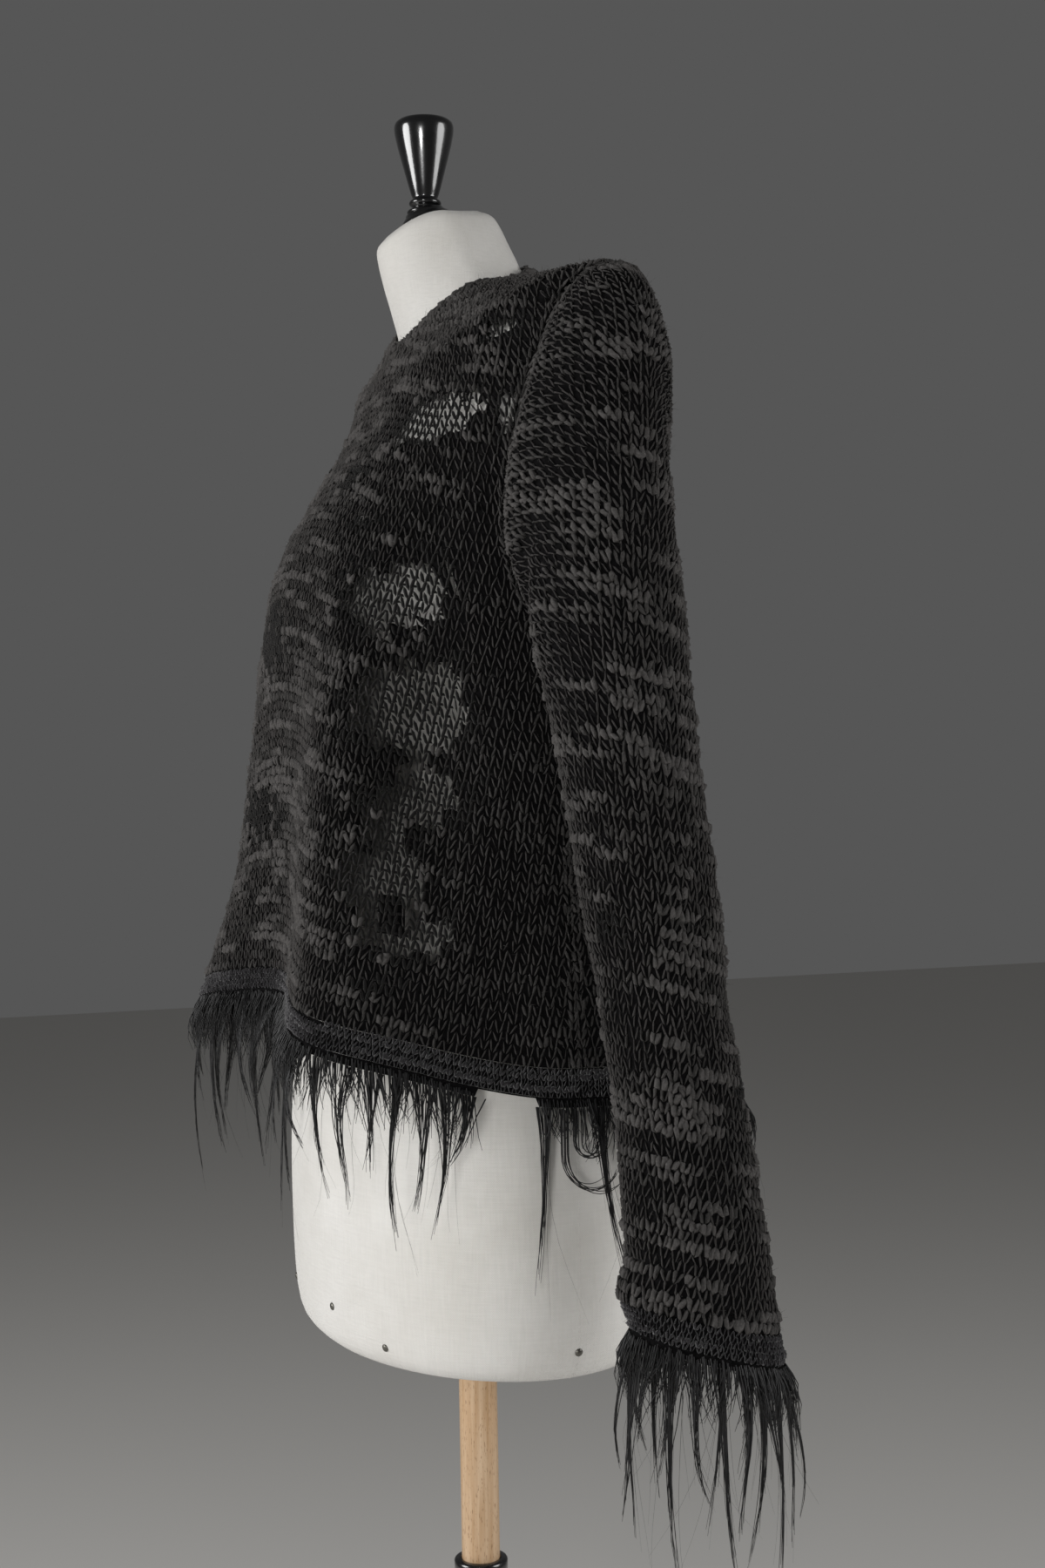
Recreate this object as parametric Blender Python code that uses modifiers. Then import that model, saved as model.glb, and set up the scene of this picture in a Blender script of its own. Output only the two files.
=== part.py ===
"""A chunky knitted pullover with fringed hem and cuffs, worn by a limbless dress form on a pole stand.

Metres, +Z up. The origin is the middle of the base's underside. The front faces -Y and the
wearer's left is +X. Every cloth piece is a wall between an outer and an inner skin, worked out
from the section tables below.
"""

import math

import bmesh
import bpy
from mathutils import Matrix, Vector

WALL = 0.0028            # knitted cloth
BAND_WALL = 0.0026       # folded edge bands
STRIP_WALL = 0.0022      # tape that carries the fringe
SEAM_GAP = 0.0004        # between pieces that are sewn together
ARMHOLE_GAP = 0.0011
SEAT_GAP = 0.0003        # between hard pieces that rest on each other

BAND_HEIGHT = 0.017
STRIP_HEIGHT = 0.006

BASE_RADIUS = 0.185
BASE_EDGE = 0.010
BASE_HEIGHT = 0.026
POLE_RADIUS = 0.0132
POLE_LOW = 0.490
TUBE_RADIUS = 0.0160
COLLAR_RADIUS = 0.0185
COLLAR_TOP = 0.552
COLLAR_HEIGHT = 0.014
FORM_BOTTOM = 0.714

FORM_SIDES = 24
PANEL_COLUMNS = 20
ARMHOLE_STEPS = 10       # rows of a panel along one side of the armhole
SKIRT_ROWS = 9           # rows between the hem band and the underarm
YOKE_ROWS = 4            # rows between the shoulder tip and the neck edge

# Sections of the dress form, from its lower rim to the top of its neck. Each names the point at
# its side, the one in front and the one behind, and how square it is between them.
SECTION_COLUMNS = ("side_x", "side_y", "side_z", "front_y", "front_z", "back_y", "back_z", "square")
FORM_SECTIONS = (
    (0.145, 0.000, 0.7140, -0.095, 0.7140, 0.098, 0.7140, 0.00),
    (0.163, 0.000, 0.7185, -0.109, 0.7185, 0.112, 0.7185, 0.00),
    (0.173, 0.000, 0.7380, -0.119, 0.7380, 0.122, 0.7380, 0.00),
    (0.176, 0.000, 0.8000, -0.122, 0.8000, 0.126, 0.8000, 0.00),
    (0.174, 0.000, 0.8700, -0.121, 0.8700, 0.124, 0.8700, 0.00),
    (0.161, 0.000, 0.9500, -0.114, 0.9500, 0.112, 0.9500, 0.00),
    (0.136, 0.000, 1.0300, -0.101, 1.0300, 0.089, 1.0300, 0.00),
    (0.122, 0.000, 1.0900, -0.094, 1.0900, 0.078, 1.0900, 0.00),
    (0.131, 0.002, 1.1500, -0.102, 1.1500, 0.084, 1.1500, 0.00),
    (0.146, 0.006, 1.2200, -0.119, 1.2150, 0.096, 1.2250, 0.00),
    (0.152, 0.012, 1.2700, -0.102, 1.2650, 0.105, 1.2800, 0.00),
    (0.158, 0.020, 1.3150, -0.079, 1.3050, 0.109, 1.3250, 0.00),
    (0.168, 0.028, 1.3520, -0.062, 1.3350, 0.104, 1.3600, 0.00),
    (0.172, 0.031, 1.3800, -0.054, 1.3510, 0.094, 1.3820, 0.00),
    (0.155, 0.029, 1.3960, -0.050, 1.3620, 0.081, 1.3970, 0.00),
    (0.122, 0.024, 1.4050, -0.0465, 1.3720, 0.067, 1.4110, 0.00),
    (0.089, 0.014, 1.4125, -0.0430, 1.3810, 0.0520, 1.4255, 0.00),
    (0.062, 0.001, 1.4200, -0.0400, 1.3900, 0.0415, 1.4430, 0.00),
    (0.0515, -0.006, 1.4340, -0.0460, 1.4110, 0.0385, 1.4520, 0.00),
    (0.0480, -0.011, 1.4480, -0.0515, 1.4290, 0.0335, 1.4620, 0.00),
    (0.0455, -0.015, 1.4610, -0.0555, 1.4450, 0.0280, 1.4730, 0.00),
    (0.0420, -0.018, 1.4700, -0.0565, 1.4560, 0.0225, 1.4800, 0.00),
    (0.0350, -0.0190, 1.4750, -0.0505, 1.4640, 0.0135, 1.4830, 0.00),
)
CAP_DOME = 0.0010        # rise of the neck's flat cap towards its middle

# Sections of the pullover's body, outer skin, from the lower edge of the hem band to the neck.
BODY_SECTIONS = (
    (0.1930, 0.005, 0.8960, -0.1480, 0.9525, 0.1480, 0.8700, 0.10),
    (0.1880, 0.005, 0.9560, -0.1430, 1.0000, 0.1420, 0.9330, 0.08),
    (0.1800, 0.006, 1.0380, -0.1380, 1.0650, 0.1350, 1.0220, 0.06),
    (0.1730, 0.008, 1.1190, -0.1350, 1.1350, 0.1280, 1.1090, 0.03),
    (0.1680, 0.012, 1.1800, -0.1330, 1.2000, 0.1230, 1.1850, 0.02),
    (0.1690, 0.018, 1.2400, -0.1230, 1.2450, 0.1210, 1.2500, 0.01),
    (0.1740, 0.025, 1.3000, -0.0990, 1.2850, 0.1210, 1.3080, 0.00),
    (0.1820, 0.031, 1.3550, -0.0750, 1.3200, 0.1180, 1.3530, 0.00),
    (0.1880, 0.036, 1.3900, -0.0640, 1.3420, 0.1100, 1.3800, 0.00),
    (0.1900, 0.037, 1.4070, -0.0590, 1.3550, 0.1010, 1.3960, 0.00),
    (0.1560, 0.033, 1.4120, -0.0545, 1.3660, 0.0870, 1.4080, 0.00),
    (0.1220, 0.026, 1.4160, -0.0510, 1.3755, 0.0730, 1.4200, 0.00),
    (0.0920, 0.015, 1.4200, -0.0472, 1.3840, 0.0585, 1.4320, 0.00),
    (0.0648, 0.001, 1.4228, -0.0438, 1.3915, 0.0450, 1.4465, 0.00),
)
UNDERARM = 4             # the row at the bottom of the armholes
SHOULDER = 9             # the row at the shoulder tip
NECK = len(BODY_SECTIONS) - 1
ARMHOLE_FRONT = 22.0     # degrees from the side seam to the armhole's front edge
ARMHOLE_BACK = 30.0

# Vertical folds of the body: angle, spread, the heights where the fold starts and is full, and how
# far it stands out where it is full and at the hem. Angles are in degrees round the body: 0 is the
# wearer's left side, 90 the front.
HEM_Z = 0.90
BODY_FOLDS = (
    (54.0, 13.0, 1.290, 1.080, 0.0270, 0.0320),    # ridge under the left bust
    (122.0, 17.0, 1.270, 1.060, 0.0140, 0.0380),   # ridge under the right bust
    (86.0, 15.0, 1.200, 1.000, -0.0080, -0.0150),  # hollow between them
    (20.0, 11.0, 1.220, 1.040, -0.0040, -0.0060),  # left side, pulled in
    (160.0, 11.0, 1.220, 1.040, -0.0030, -0.0060),
    (232.0, 13.0, 1.240, 1.040, 0.0080, 0.0140),   # back ridges
    (304.0, 14.0, 1.250, 1.050, 0.0090, 0.0150),
    (268.0, 14.0, 1.230, 1.020, -0.0040, -0.0070),
    (338.0, 9.0, 1.120, 0.980, 0.0030, 0.0060),
)

# The left sleeve's outer skin. Each ring has four corners: its outer or upper point, its front,
# its inner or lower point and its back. The first ring is the armhole itself.
SLEEVE_RINGS = (
    ((0.2030, 0.037, 1.4055), (0.1760, -0.030, 1.2850), (0.1725, 0.0130, 1.1860), (0.1760, 0.082, 1.2950)),
    ((0.2200, 0.036, 1.3930), (0.1920, -0.036, 1.2780), (0.1785, 0.0145, 1.1870), (0.1930, 0.070, 1.2900)),
    ((0.2380, 0.034, 1.3620), (0.2050, -0.036, 1.2620), (0.1820, 0.0160, 1.1790), (0.2070, 0.0600, 1.2720)),
    ((0.2500, 0.030, 1.3180), (0.2130, -0.034, 1.2380), (0.1825, 0.0180, 1.1640), (0.2150, 0.0530, 1.2450)),
    ((0.2570, 0.027, 1.2650), (0.2180, -0.030, 1.2050), (0.1820, 0.0195, 1.1430), (0.2195, 0.0550, 1.2100)),
    ((0.2620, 0.025, 1.1980), (0.2210, -0.024, 1.1620), (0.1820, 0.0240, 1.1200), (0.2220, 0.0620, 1.1640)),
    ((0.2640, 0.029, 1.1120), (0.2245, -0.0145, 1.0980), (0.1850, 0.0290, 1.0800), (0.2245, 0.0695, 1.0980)),
    ((0.2670, 0.036, 1.0300), (0.2295, -0.0060, 1.0250), (0.1920, 0.0360, 1.0150), (0.2295, 0.0770, 1.0230)),
    ((0.2720, 0.043, 0.9550), (0.2360, 0.0025, 0.9550), (0.2000, 0.0430, 0.9480), (0.2360, 0.0830, 0.9500)),
    ((0.2790, 0.048, 0.8850), (0.2430, 0.0070, 0.8880), (0.2070, 0.0480, 0.8800), (0.2430, 0.0890, 0.8780)),
    ((0.2870, 0.054, 0.8180), (0.2510, 0.0095, 0.8260), (0.2145, 0.0540, 0.8160), (0.2510, 0.0970, 0.8080)),
    ((0.2915, 0.058, 0.7720), (0.2550, 0.0070, 0.7850), (0.2185, 0.0580, 0.7720), (0.2550, 0.1020, 0.7600)),
    ((0.2930, 0.059, 0.7550), (0.2565, 0.0095, 0.7690), (0.2200, 0.0590, 0.7560), (0.2565, 0.1035, 0.7430)),
)
SLEEVE_END = len(SLEEVE_RINGS) - 1       # the cuff band runs along the last stretch
SLEEVE_STATIONS = (0.0, 0.5, 1.0, 1.5, 2.0, 2.75, 3.5, 4.25, 5.0, 5.75, 6.5, 7.25, 8.0, 8.75, 9.5, 10.2)
CUFF_GAP_STEP = 0.02                     # of the last stretch, between the sleeve and its cuff band
# Soft creases round the sleeve: ring, reach along it, angle round it, reach round it, depth.
SLEEVE_CREASES = (
    (3.2, 0.5, 115.0, 45.0, -0.0050),
    (4.6, 0.4, 60.0, 40.0, 0.0030),
    (6.1, 0.5, 250.0, 50.0, -0.0035),
    (7.2, 0.4, 40.0, 50.0, 0.0030),
    (8.0, 0.35, 300.0, 40.0, -0.0030),
    (8.9, 0.4, 90.0, 45.0, -0.0030),
    (9.8, 0.35, 20.0, 60.0, 0.0025),
    (10.8, 0.30, 95.0, 60.0, 0.0040),
)

# Hair locks of the fringe, used in turn: length, sideways sweep along the edge, outward lean.
LOCKS = (
    (0.105, -0.010, 0.008),
    (0.070, -0.012, 0.012),
    (0.135, -0.010, 0.006),
    (0.090, -0.006, 0.011),
    (0.150, -0.001, 0.007),
    (0.062, 0.004, 0.012),
    (0.118, 0.008, 0.007),
    (0.098, 0.010, 0.011),
    (0.142, 0.007, 0.006),
    (0.080, 0.002, 0.012),
    (0.110, -0.005, 0.008),
)
HEM_HAIR = 0.78          # share of the locks' full length
CUFF_HAIR = 0.88
LOCK_SHARE = 0.62        # of the tape's length, the rest is bare between the locks
LOCK_CURL = 2.4          # radians of the bow that a lock's outward lean follows
LOCK_STEPS = ((0.30, 0.60), (0.70, 0.34), (1.0, 0.08))  # share of length, share of width
HEM_LOCKS = 2            # along each stretch of the hem band between two corners
CUFF_LOCKS = 1
BARE_HEM = (2.0, 17.0)   # degrees of the left hem that carry no hair
BLEND_REACH = 1.6        # sleeve rings over which the armhole's form dies away

OBJECTS = bpy.data.collections.new("fringed_pullover")
CUTTERS = bpy.data.collections.new("cutters")


def clear_scene():
    for old in list(bpy.data.objects):
        bpy.data.objects.remove(old, do_unlink=True)
    for collection in (OBJECTS, CUTTERS):
        bpy.context.scene.collection.children.link(collection)


def material(name, colour, roughness, metallic=0.0):
    made = bpy.data.materials.new(name)
    made.use_nodes = True
    shader = made.node_tree.nodes["Principled BSDF"]
    shader.inputs["Base Color"].default_value = (*colour, 1.0)
    shader.inputs["Roughness"].default_value = roughness
    shader.inputs["Metallic"].default_value = metallic
    return made


def add_object(name, mesh, finish, sharp_angle=40.0):
    made = bpy.data.objects.new(name, mesh)
    OBJECTS.objects.link(made)
    mesh.materials.clear()
    mesh.materials.append(finish)
    mesh.shade_smooth()
    mesh.set_sharp_from_angle(angle=math.radians(sharp_angle))
    return made


def smooth_rise(value):
    share = min(1.0, max(0.0, value))
    return share * share * (3.0 - 2.0 * share)


def between_rows(rows, level, column):
    """A table's column read between its rows, along a curve through them."""
    last = len(rows) - 1
    low = min(last - 1, max(0, int(math.floor(level))))
    part = level - low
    before = rows[max(0, low - 1)][column]
    here = rows[low][column]
    there = rows[low + 1][column]
    after = rows[min(last, low + 2)][column]
    start, end = (there - before) / 2.0, (after - here) / 2.0
    if low == 0:
        start = there - here
    if low + 1 == last:
        end = there - here
    square, cube = part * part, part * part * part
    return (
        (2 * cube - 3 * square + 1) * here
        + (cube - 2 * square + part) * start
        + (3 * square - 2 * cube) * there
        + (cube - square) * end
    )


def section_point(rows, level, angle):
    """A point of a body-like section: angle 0 is the left side, 90 the front, 270 the back."""
    side_x, side_y, side_z, front_y, front_z, back_y, back_z, square = (
        between_rows(rows, level, column) for column in range(len(SECTION_COLUMNS))
    )
    turn = math.radians(angle)
    across, deep = math.cos(turn), math.sin(turn)
    bulge = 1.0 + square * math.sin(2.0 * turn) ** 2
    reach_y, reach_z = (front_y, front_z) if deep > 0 else (back_y, back_z)
    y = side_y + (reach_y - side_y) * abs(deep) * bulge
    z = side_z + (reach_z - side_z) * deep * deep
    return Vector((side_x * across * bulge, y, z))


def form_point(level, angle):
    return section_point(FORM_SECTIONS, level, angle)


def fold_swell(point, angle):
    """How far the folds push the body's cloth outwards at a height and angle."""
    swell = 0.0
    for place, spread, top_z, full_z, at_full, at_hem in BODY_FOLDS:
        away = (angle - place + 180.0) % 360.0 - 180.0
        if abs(away) > 3.0 * spread:
            continue
        rise = smooth_rise((top_z - point.z) / (top_z - full_z))
        lower = smooth_rise((full_z - point.z) / (full_z - HEM_Z))
        size = rise * at_full + lower * (at_hem - at_full)
        swell += size * math.exp(-((away / spread) ** 2))
    return swell


def body_point(level, angle):
    point = section_point(BODY_SECTIONS, level, angle)
    outward = Vector((point.x, point.y, 0.0)).normalized()
    return point + outward * fold_swell(point, angle)


def normal_of(surface, level, angle, outside):
    """The unit normal of a surface function, on the side that faces away from outside's axis."""
    step_level, step_angle = 0.01, 0.5
    up = surface(level + step_level, angle) - surface(level - step_level, angle)
    round_it = surface(level, angle + step_angle) - surface(level, angle - step_angle)
    normal = round_it.cross(up).normalized()
    return normal if normal.dot(surface(level, angle) - outside) > 0 else -normal


def body_axis(level):
    """A point inside the body, below the section, so that shoulder normals point up and out."""
    side_y, side_z = (between_rows(BODY_SECTIONS, level, column) for column in (1, 2))
    return Vector((0.0, side_y, side_z - 0.06))


def body_normal(level, angle):
    return normal_of(body_point, min(level, NECK - 0.02), angle, body_axis(level))


def grid_wall(outer, inner, closed_across):
    """A closed wall between two grids of points, rows of equal length. closed_across makes a tube."""
    mesh = bmesh.new()
    skins = [[[mesh.verts.new(p) for p in row] for row in skin] for skin in (outer, inner)]
    rows, columns = len(outer), len(outer[0])
    spans = columns if closed_across else columns - 1

    def corner(skin, row, column):
        return skins[skin][row][column % columns]

    def face(*corners):
        mesh.faces.new(corners)

    for row in range(rows - 1):
        for column in range(spans):
            quad = [(row, column), (row, column + 1), (row + 1, column + 1), (row + 1, column)]
            face(*(corner(0, *at) for at in quad))
            face(*(corner(1, *at) for at in reversed(quad)))
    for row, flip in ((0, True), (rows - 1, False)):
        for column in range(spans):
            edge = [corner(0, row, column), corner(0, row, column + 1)]
            edge += [corner(1, row, column + 1), corner(1, row, column)]
            face(*(reversed(edge) if flip else edge))
    if not closed_across:
        for column, flip in ((0, False), (columns - 1, True)):
            for row in range(rows - 1):
                edge = [corner(0, row, column), corner(0, row + 1, column)]
                edge += [corner(1, row + 1, column), corner(1, row, column)]
                face(*(reversed(edge) if flip else edge))
    bmesh.ops.recalc_face_normals(mesh, faces=mesh.faces)
    return mesh


def mesh_from(made, name):
    mesh = bpy.data.meshes.new(name)
    made.to_mesh(mesh)
    made.free()
    return mesh


def height_step(level, height):
    """How much further along the body's rows a stretch of cloth of that height reaches."""
    length = (body_point(level + 0.1, 30.0) - body_point(level, 30.0)).length / 0.1
    return height / length


def seam_angle(level, angle, gap):
    """The turn, in degrees, that opens a gap of that width beside a seam."""
    return gap / (body_point(level, angle + 0.5) - body_point(level, angle - 0.5)).length


BAND_LEVEL = height_step(0.0, BAND_HEIGHT)
PANEL_LEVEL = BAND_LEVEL + height_step(BAND_LEVEL, SEAM_GAP)


def armhole_levels():
    """The rows along the armhole, close together at its two ends."""
    span = SHOULDER - UNDERARM
    return [
        UNDERARM + span * (1.0 - math.cos(math.pi * step / ARMHOLE_STEPS)) / 2.0
        for step in range(ARMHOLE_STEPS + 1)
    ]


def armhole_open(level, reach):
    """The armhole's half opening at a row, in degrees, on the side where it reaches that far."""
    if not UNDERARM < level < SHOULDER:
        return 0.0
    middle = (UNDERARM + SHOULDER) / 2.0
    along = (level - middle) / ((SHOULDER - UNDERARM) / 2.0)
    return reach * math.sqrt(max(0.0, 1.0 - along * along))


def panel_levels():
    skirt = [
        PANEL_LEVEL + (UNDERARM - PANEL_LEVEL) * step / SKIRT_ROWS for step in range(SKIRT_ROWS)
    ]
    yoke = [
        SHOULDER + (NECK - SHOULDER) * step / YOKE_ROWS for step in range(1, YOKE_ROWS + 1)
    ]
    return skirt + armhole_levels() + yoke


def build_panel(name, start, reach, finish):
    """The front or the back: start is the angle of its first side seam."""
    outer, inner = [], []
    for level in panel_levels():
        margin = max(seam_angle(level, start, SEAM_GAP / 2.0), armhole_open(level, reach))
        low, high = start + margin, start + 180.0 - margin
        angles = [low + (high - low) * step / PANEL_COLUMNS for step in range(PANEL_COLUMNS + 1)]
        outer.append([body_point(level, angle) for angle in angles])
        inner.append([
            body_point(level, angle) - body_normal(level, angle) * WALL for angle in angles
        ])
    return add_object(name, mesh_from(grid_wall(outer, inner, False), name), finish)


def build_hem_band(finish):
    sides = 2 * PANEL_COLUMNS
    angles = [360.0 * step / sides for step in range(sides)]
    levels = [BAND_LEVEL * step / 2.0 for step in range(3)]
    outer = [[body_point(level, angle) for angle in angles] for level in levels]
    inner = [
        [body_point(level, angle) - body_normal(level, angle) * BAND_WALL for angle in angles]
        for level in levels
    ]
    return add_object("hem_band", mesh_from(grid_wall(outer, inner, True), "hem_band"), finish)


def mirrored(point):
    return Vector((-point.x, point.y, point.z))


def armhole_edge(turn, depth, side):
    """A point just inside an armhole's edge, and the way from there to the armhole's middle.

    turn is 0 at the shoulder tip and 90 at the front, depth is counted from the panels' outer
    skin, and side is 0 for the wearer's left and 180 for the right, turned over onto the left.
    """
    along, aside = math.cos(math.radians(turn)), math.sin(math.radians(turn))
    level = (UNDERARM + SHOULDER + (SHOULDER - UNDERARM) * along) / 2.0
    reach = aside * (ARMHOLE_FRONT if aside > 0 else ARMHOLE_BACK)
    angle = reach if side == 0.0 else side - reach
    normal = body_normal(level, angle)
    edge = body_point(level, angle)
    to_middle = body_point((UNDERARM + SHOULDER) / 2.0, side) - edge
    to_middle = (to_middle - normal * to_middle.dot(normal)).normalized()
    point = edge - normal * depth + to_middle * ARMHOLE_GAP
    return (point, to_middle) if side == 0.0 else (mirrored(point), mirrored(to_middle))


def sleeve_corner(station, corner):
    flat = [sum((ring[0], ring[1], ring[2], ring[3]), ()) for ring in SLEEVE_RINGS]
    return Vector([between_rows(flat, station, 3 * corner + axis) for axis in range(3)])


def crease_depth(station, turn):
    depth = 0.0
    for ring, reach, place, spread, size in SLEEVE_CREASES:
        away = (turn - place + 180.0) % 360.0 - 180.0
        depth += size * math.exp(-(((station - ring) / reach) ** 2) - (away / spread) ** 2)
    return depth


def sleeve_ring_point(station, turn):
    outer, front, inner, back = (sleeve_corner(station, corner) for corner in range(4))
    centre = (outer + inner) / 2.0
    along, aside = math.cos(math.radians(turn)), math.sin(math.radians(turn))
    reach = (front if aside > 0 else back) - centre
    spoke = (outer - centre) * along + reach * abs(aside)
    return centre + spoke * (1.0 + crease_depth(station, turn) / spoke.length)


def sleeve_point(station, turn, side=0.0):
    """A point of a sleeve. turn is 0 on the outside, 90 at the front, 180 on the inside.

    Just below station 0 the sleeve reaches through the armhole, as deep as the panels' wall.
    """
    if station < 0.0:
        return armhole_edge(turn, -station, side)[0]
    point = sleeve_ring_point(station, turn)
    held = 1.0 - smooth_rise(station / BLEND_REACH)
    if held > 0.0:
        point += (armhole_edge(turn, 0.0, side)[0] - sleeve_ring_point(0.0, turn)) * held
    return point


def sleeve_centre(station):
    return (sleeve_corner(station, 0) + sleeve_corner(station, 2)) / 2.0


def sleeve_normal(station, turn, side=0.0):
    """Outward from the sleeve's wall. At the armhole it lies in the panels' surface."""
    held = 1.0 - smooth_rise(station / BLEND_REACH)
    away = -armhole_edge(turn, 0.0, side)[1]
    if station < 0.05:
        return away
    normal = normal_of(
        lambda level, angle: sleeve_point(level, angle, side), station, turn, sleeve_centre(station)
    )
    return normal.lerp(away, held).normalized()


def sleeve_inner(station, turn, side, wall):
    return sleeve_point(station, turn, side) - sleeve_normal(station, turn, side) * wall


def sleeve_turns():
    return [180.0 * step / ARMHOLE_STEPS for step in range(2 * ARMHOLE_STEPS)]


def build_sleeve(name, side, finish):
    """A sleeve worked out on the left and turned over for the wearer's right side."""
    turns = sleeve_turns()
    stations = [-WALL] + list(SLEEVE_STATIONS) + [SLEEVE_END - 1.0 - CUFF_GAP_STEP]
    outer = [[sleeve_point(station, turn, side) for turn in turns] for station in stations]
    inner = [[sleeve_inner(station, turn, side, WALL) for turn in turns] for station in stations]
    made = add_object(name, mesh_from(grid_wall(outer, inner, True), name), finish)
    if side != 0.0:
        turn_over(made.data)
    return made


def build_cuff_band(finish):
    turns = sleeve_turns()
    stations = [SLEEVE_END - 1.0, SLEEVE_END - 0.5, float(SLEEVE_END)]
    outer = [[sleeve_point(station, turn) for turn in turns] for station in stations]
    inner = [[sleeve_inner(station, turn, 0.0, BAND_WALL) for turn in turns] for station in stations]
    return add_object("cuff_band_left", mesh_from(grid_wall(outer, inner, True), "cuff_band_left"), finish)


def turn_over(mesh):
    mesh.transform(Matrix.Scale(-1.0, 4, Vector((1.0, 0.0, 0.0))))
    mesh.flip_normals()


def mirror_copy(source, name):
    """The same piece for the wearer's right side."""
    mesh = source.data.copy()
    turn_over(mesh)
    made = bpy.data.objects.new(name, mesh)
    OBJECTS.objects.link(made)
    return made


def grow_lock(mesh, root, edge_way, outward, lock, hair):
    """Draws one tapering lock of hair out of a face on the tape's lower edge."""
    length, sweep, lean = (hair * size for size in lock)
    start = root.calc_center_median()
    base = [corner.co - start for corner in root.verts]
    face = root
    for share, width in LOCK_STEPS:
        grown = bmesh.ops.extrude_discrete_faces(mesh, faces=[face])["faces"][0]
        middle = start + Vector((0.0, 0.0, -length * share))
        middle += edge_way * (sweep * share * share) + outward * (lean * math.sin(share * LOCK_CURL))
        for corner, offset in zip(grown.verts, base):
            corner.co = middle + offset * width
        face = grown


def fringe_tape(corners, outward, lock_count, plan, hair, closed):
    """A narrow tape along the polygon of an edge, with locks of hair drawn from its lower faces.

    corners are the edge's corners, outward the outward direction at each. Each stretch between
    two corners carries lock_count locks, taken in turn from plan. None in the plan leaves it bare.
    """
    count = len(corners)
    spans = count if closed else count - 1
    points, ways, carried = [], [], []
    for span in range(spans):
        here, there = corners[span], corners[(span + 1) % count]
        way_here, way_there = outward[span], outward[(span + 1) % count]
        for index in range(lock_count):
            start = index / lock_count
            for part, lock in ((0.0, None), (1.0 - LOCK_SHARE, plan[span * lock_count + index])):
                share = start + part / lock_count
                points.append(here.lerp(there, share))
                ways.append(way_here.lerp(way_there, share).normalized())
                carried.append(lock)
    if not closed:
        points.append(corners[-1])
        ways.append(outward[-1])
    down = Vector((0.0, 0.0, -1.0))
    outer = [[point + down * (STRIP_HEIGHT * row) for point in points] for row in range(2)]
    inner = [[point - way * STRIP_WALL for point, way in zip(row, ways)] for row in outer]
    mesh = grid_wall(outer, inner, closed)
    mesh.faces.ensure_lookup_table()
    first_low = 3 * len(carried)
    low_faces = [mesh.faces[first_low + column] for column in range(len(carried))]
    for column, (root, lock) in enumerate(zip(low_faces, carried)):
        if lock is None:
            continue
        ahead = (points[(column + 1) % len(points)] - points[column]).normalized()
        lean_way = Vector((ways[column].x, ways[column].y, 0.0)).normalized()
        grow_lock(mesh, root, ahead, lean_way, lock, hair)
    bmesh.ops.recalc_face_normals(mesh, faces=mesh.faces)
    return mesh


def build_hem_fringe(name, start, shift, finish):
    """Hair along the front or the back half of the hem."""
    drop = Vector((0.0, 0.0, -SEAM_GAP))
    margin = seam_angle(0.0, start, SEAM_GAP / 2.0)
    angles = [start + 180.0 * step / PANEL_COLUMNS for step in range(PANEL_COLUMNS + 1)]
    corners = [body_point(0.0, angle) + drop for angle in angles]
    corners[0] = corners[0].lerp(corners[1], margin * PANEL_COLUMNS / 180.0)
    corners[-1] = corners[-1].lerp(corners[-2], margin * PANEL_COLUMNS / 180.0)
    outward = [body_normal(0.0, angle) for angle in angles]
    plan = []
    for index in range(PANEL_COLUMNS * HEM_LOCKS):
        middle = start + 180.0 * (index + 0.5) / (PANEL_COLUMNS * HEM_LOCKS)
        bare = BARE_HEM[0] < middle < BARE_HEM[1]
        plan.append(None if bare else LOCKS[(index + shift) % len(LOCKS)])
    mesh = fringe_tape(corners, outward, HEM_LOCKS, plan, HEM_HAIR, False)
    return add_object(name, mesh_from(mesh, name), finish)


def build_cuff_fringe(finish):
    drop = Vector((0.0, 0.0, -SEAM_GAP))
    turns = sleeve_turns()
    end = float(SLEEVE_END)
    corners = [sleeve_point(end, turn) + drop for turn in turns]
    outward = [sleeve_normal(end, turn) for turn in turns]
    plan = [LOCKS[(index + 2) % len(LOCKS)] for index in range(len(turns) * CUFF_LOCKS)]
    mesh = fringe_tape(corners, outward, CUFF_LOCKS, plan, CUFF_HAIR, True)
    return add_object("cuff_fringe_left", mesh_from(mesh, "cuff_fringe_left"), finish)


def build_form(finish):
    """The padded torso and neck, one smooth closed body."""
    mesh = bmesh.new()
    rings = []
    for level in range(len(FORM_SECTIONS)):
        angles = [360.0 * step / FORM_SIDES for step in range(FORM_SIDES)]
        rings.append([mesh.verts.new(form_point(level, angle)) for angle in angles])
    for low, high in zip(rings, rings[1:]):
        for step in range(FORM_SIDES):
            after = (step + 1) % FORM_SIDES
            mesh.faces.new((low[step], low[after], high[after], high[step]))
    mesh.faces.new(rings[0])
    top = mesh.verts.new(sum((v.co for v in rings[-1]), Vector()) / FORM_SIDES + Vector((0.0, 0.0, CAP_DOME)))
    for step in range(FORM_SIDES):
        mesh.faces.new((rings[-1][step], rings[-1][(step + 1) % FORM_SIDES], top))
    bmesh.ops.recalc_face_normals(mesh, faces=mesh.faces)
    return add_object("form_torso", mesh_from(mesh, "form_torso"), finish, 60.0)


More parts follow.
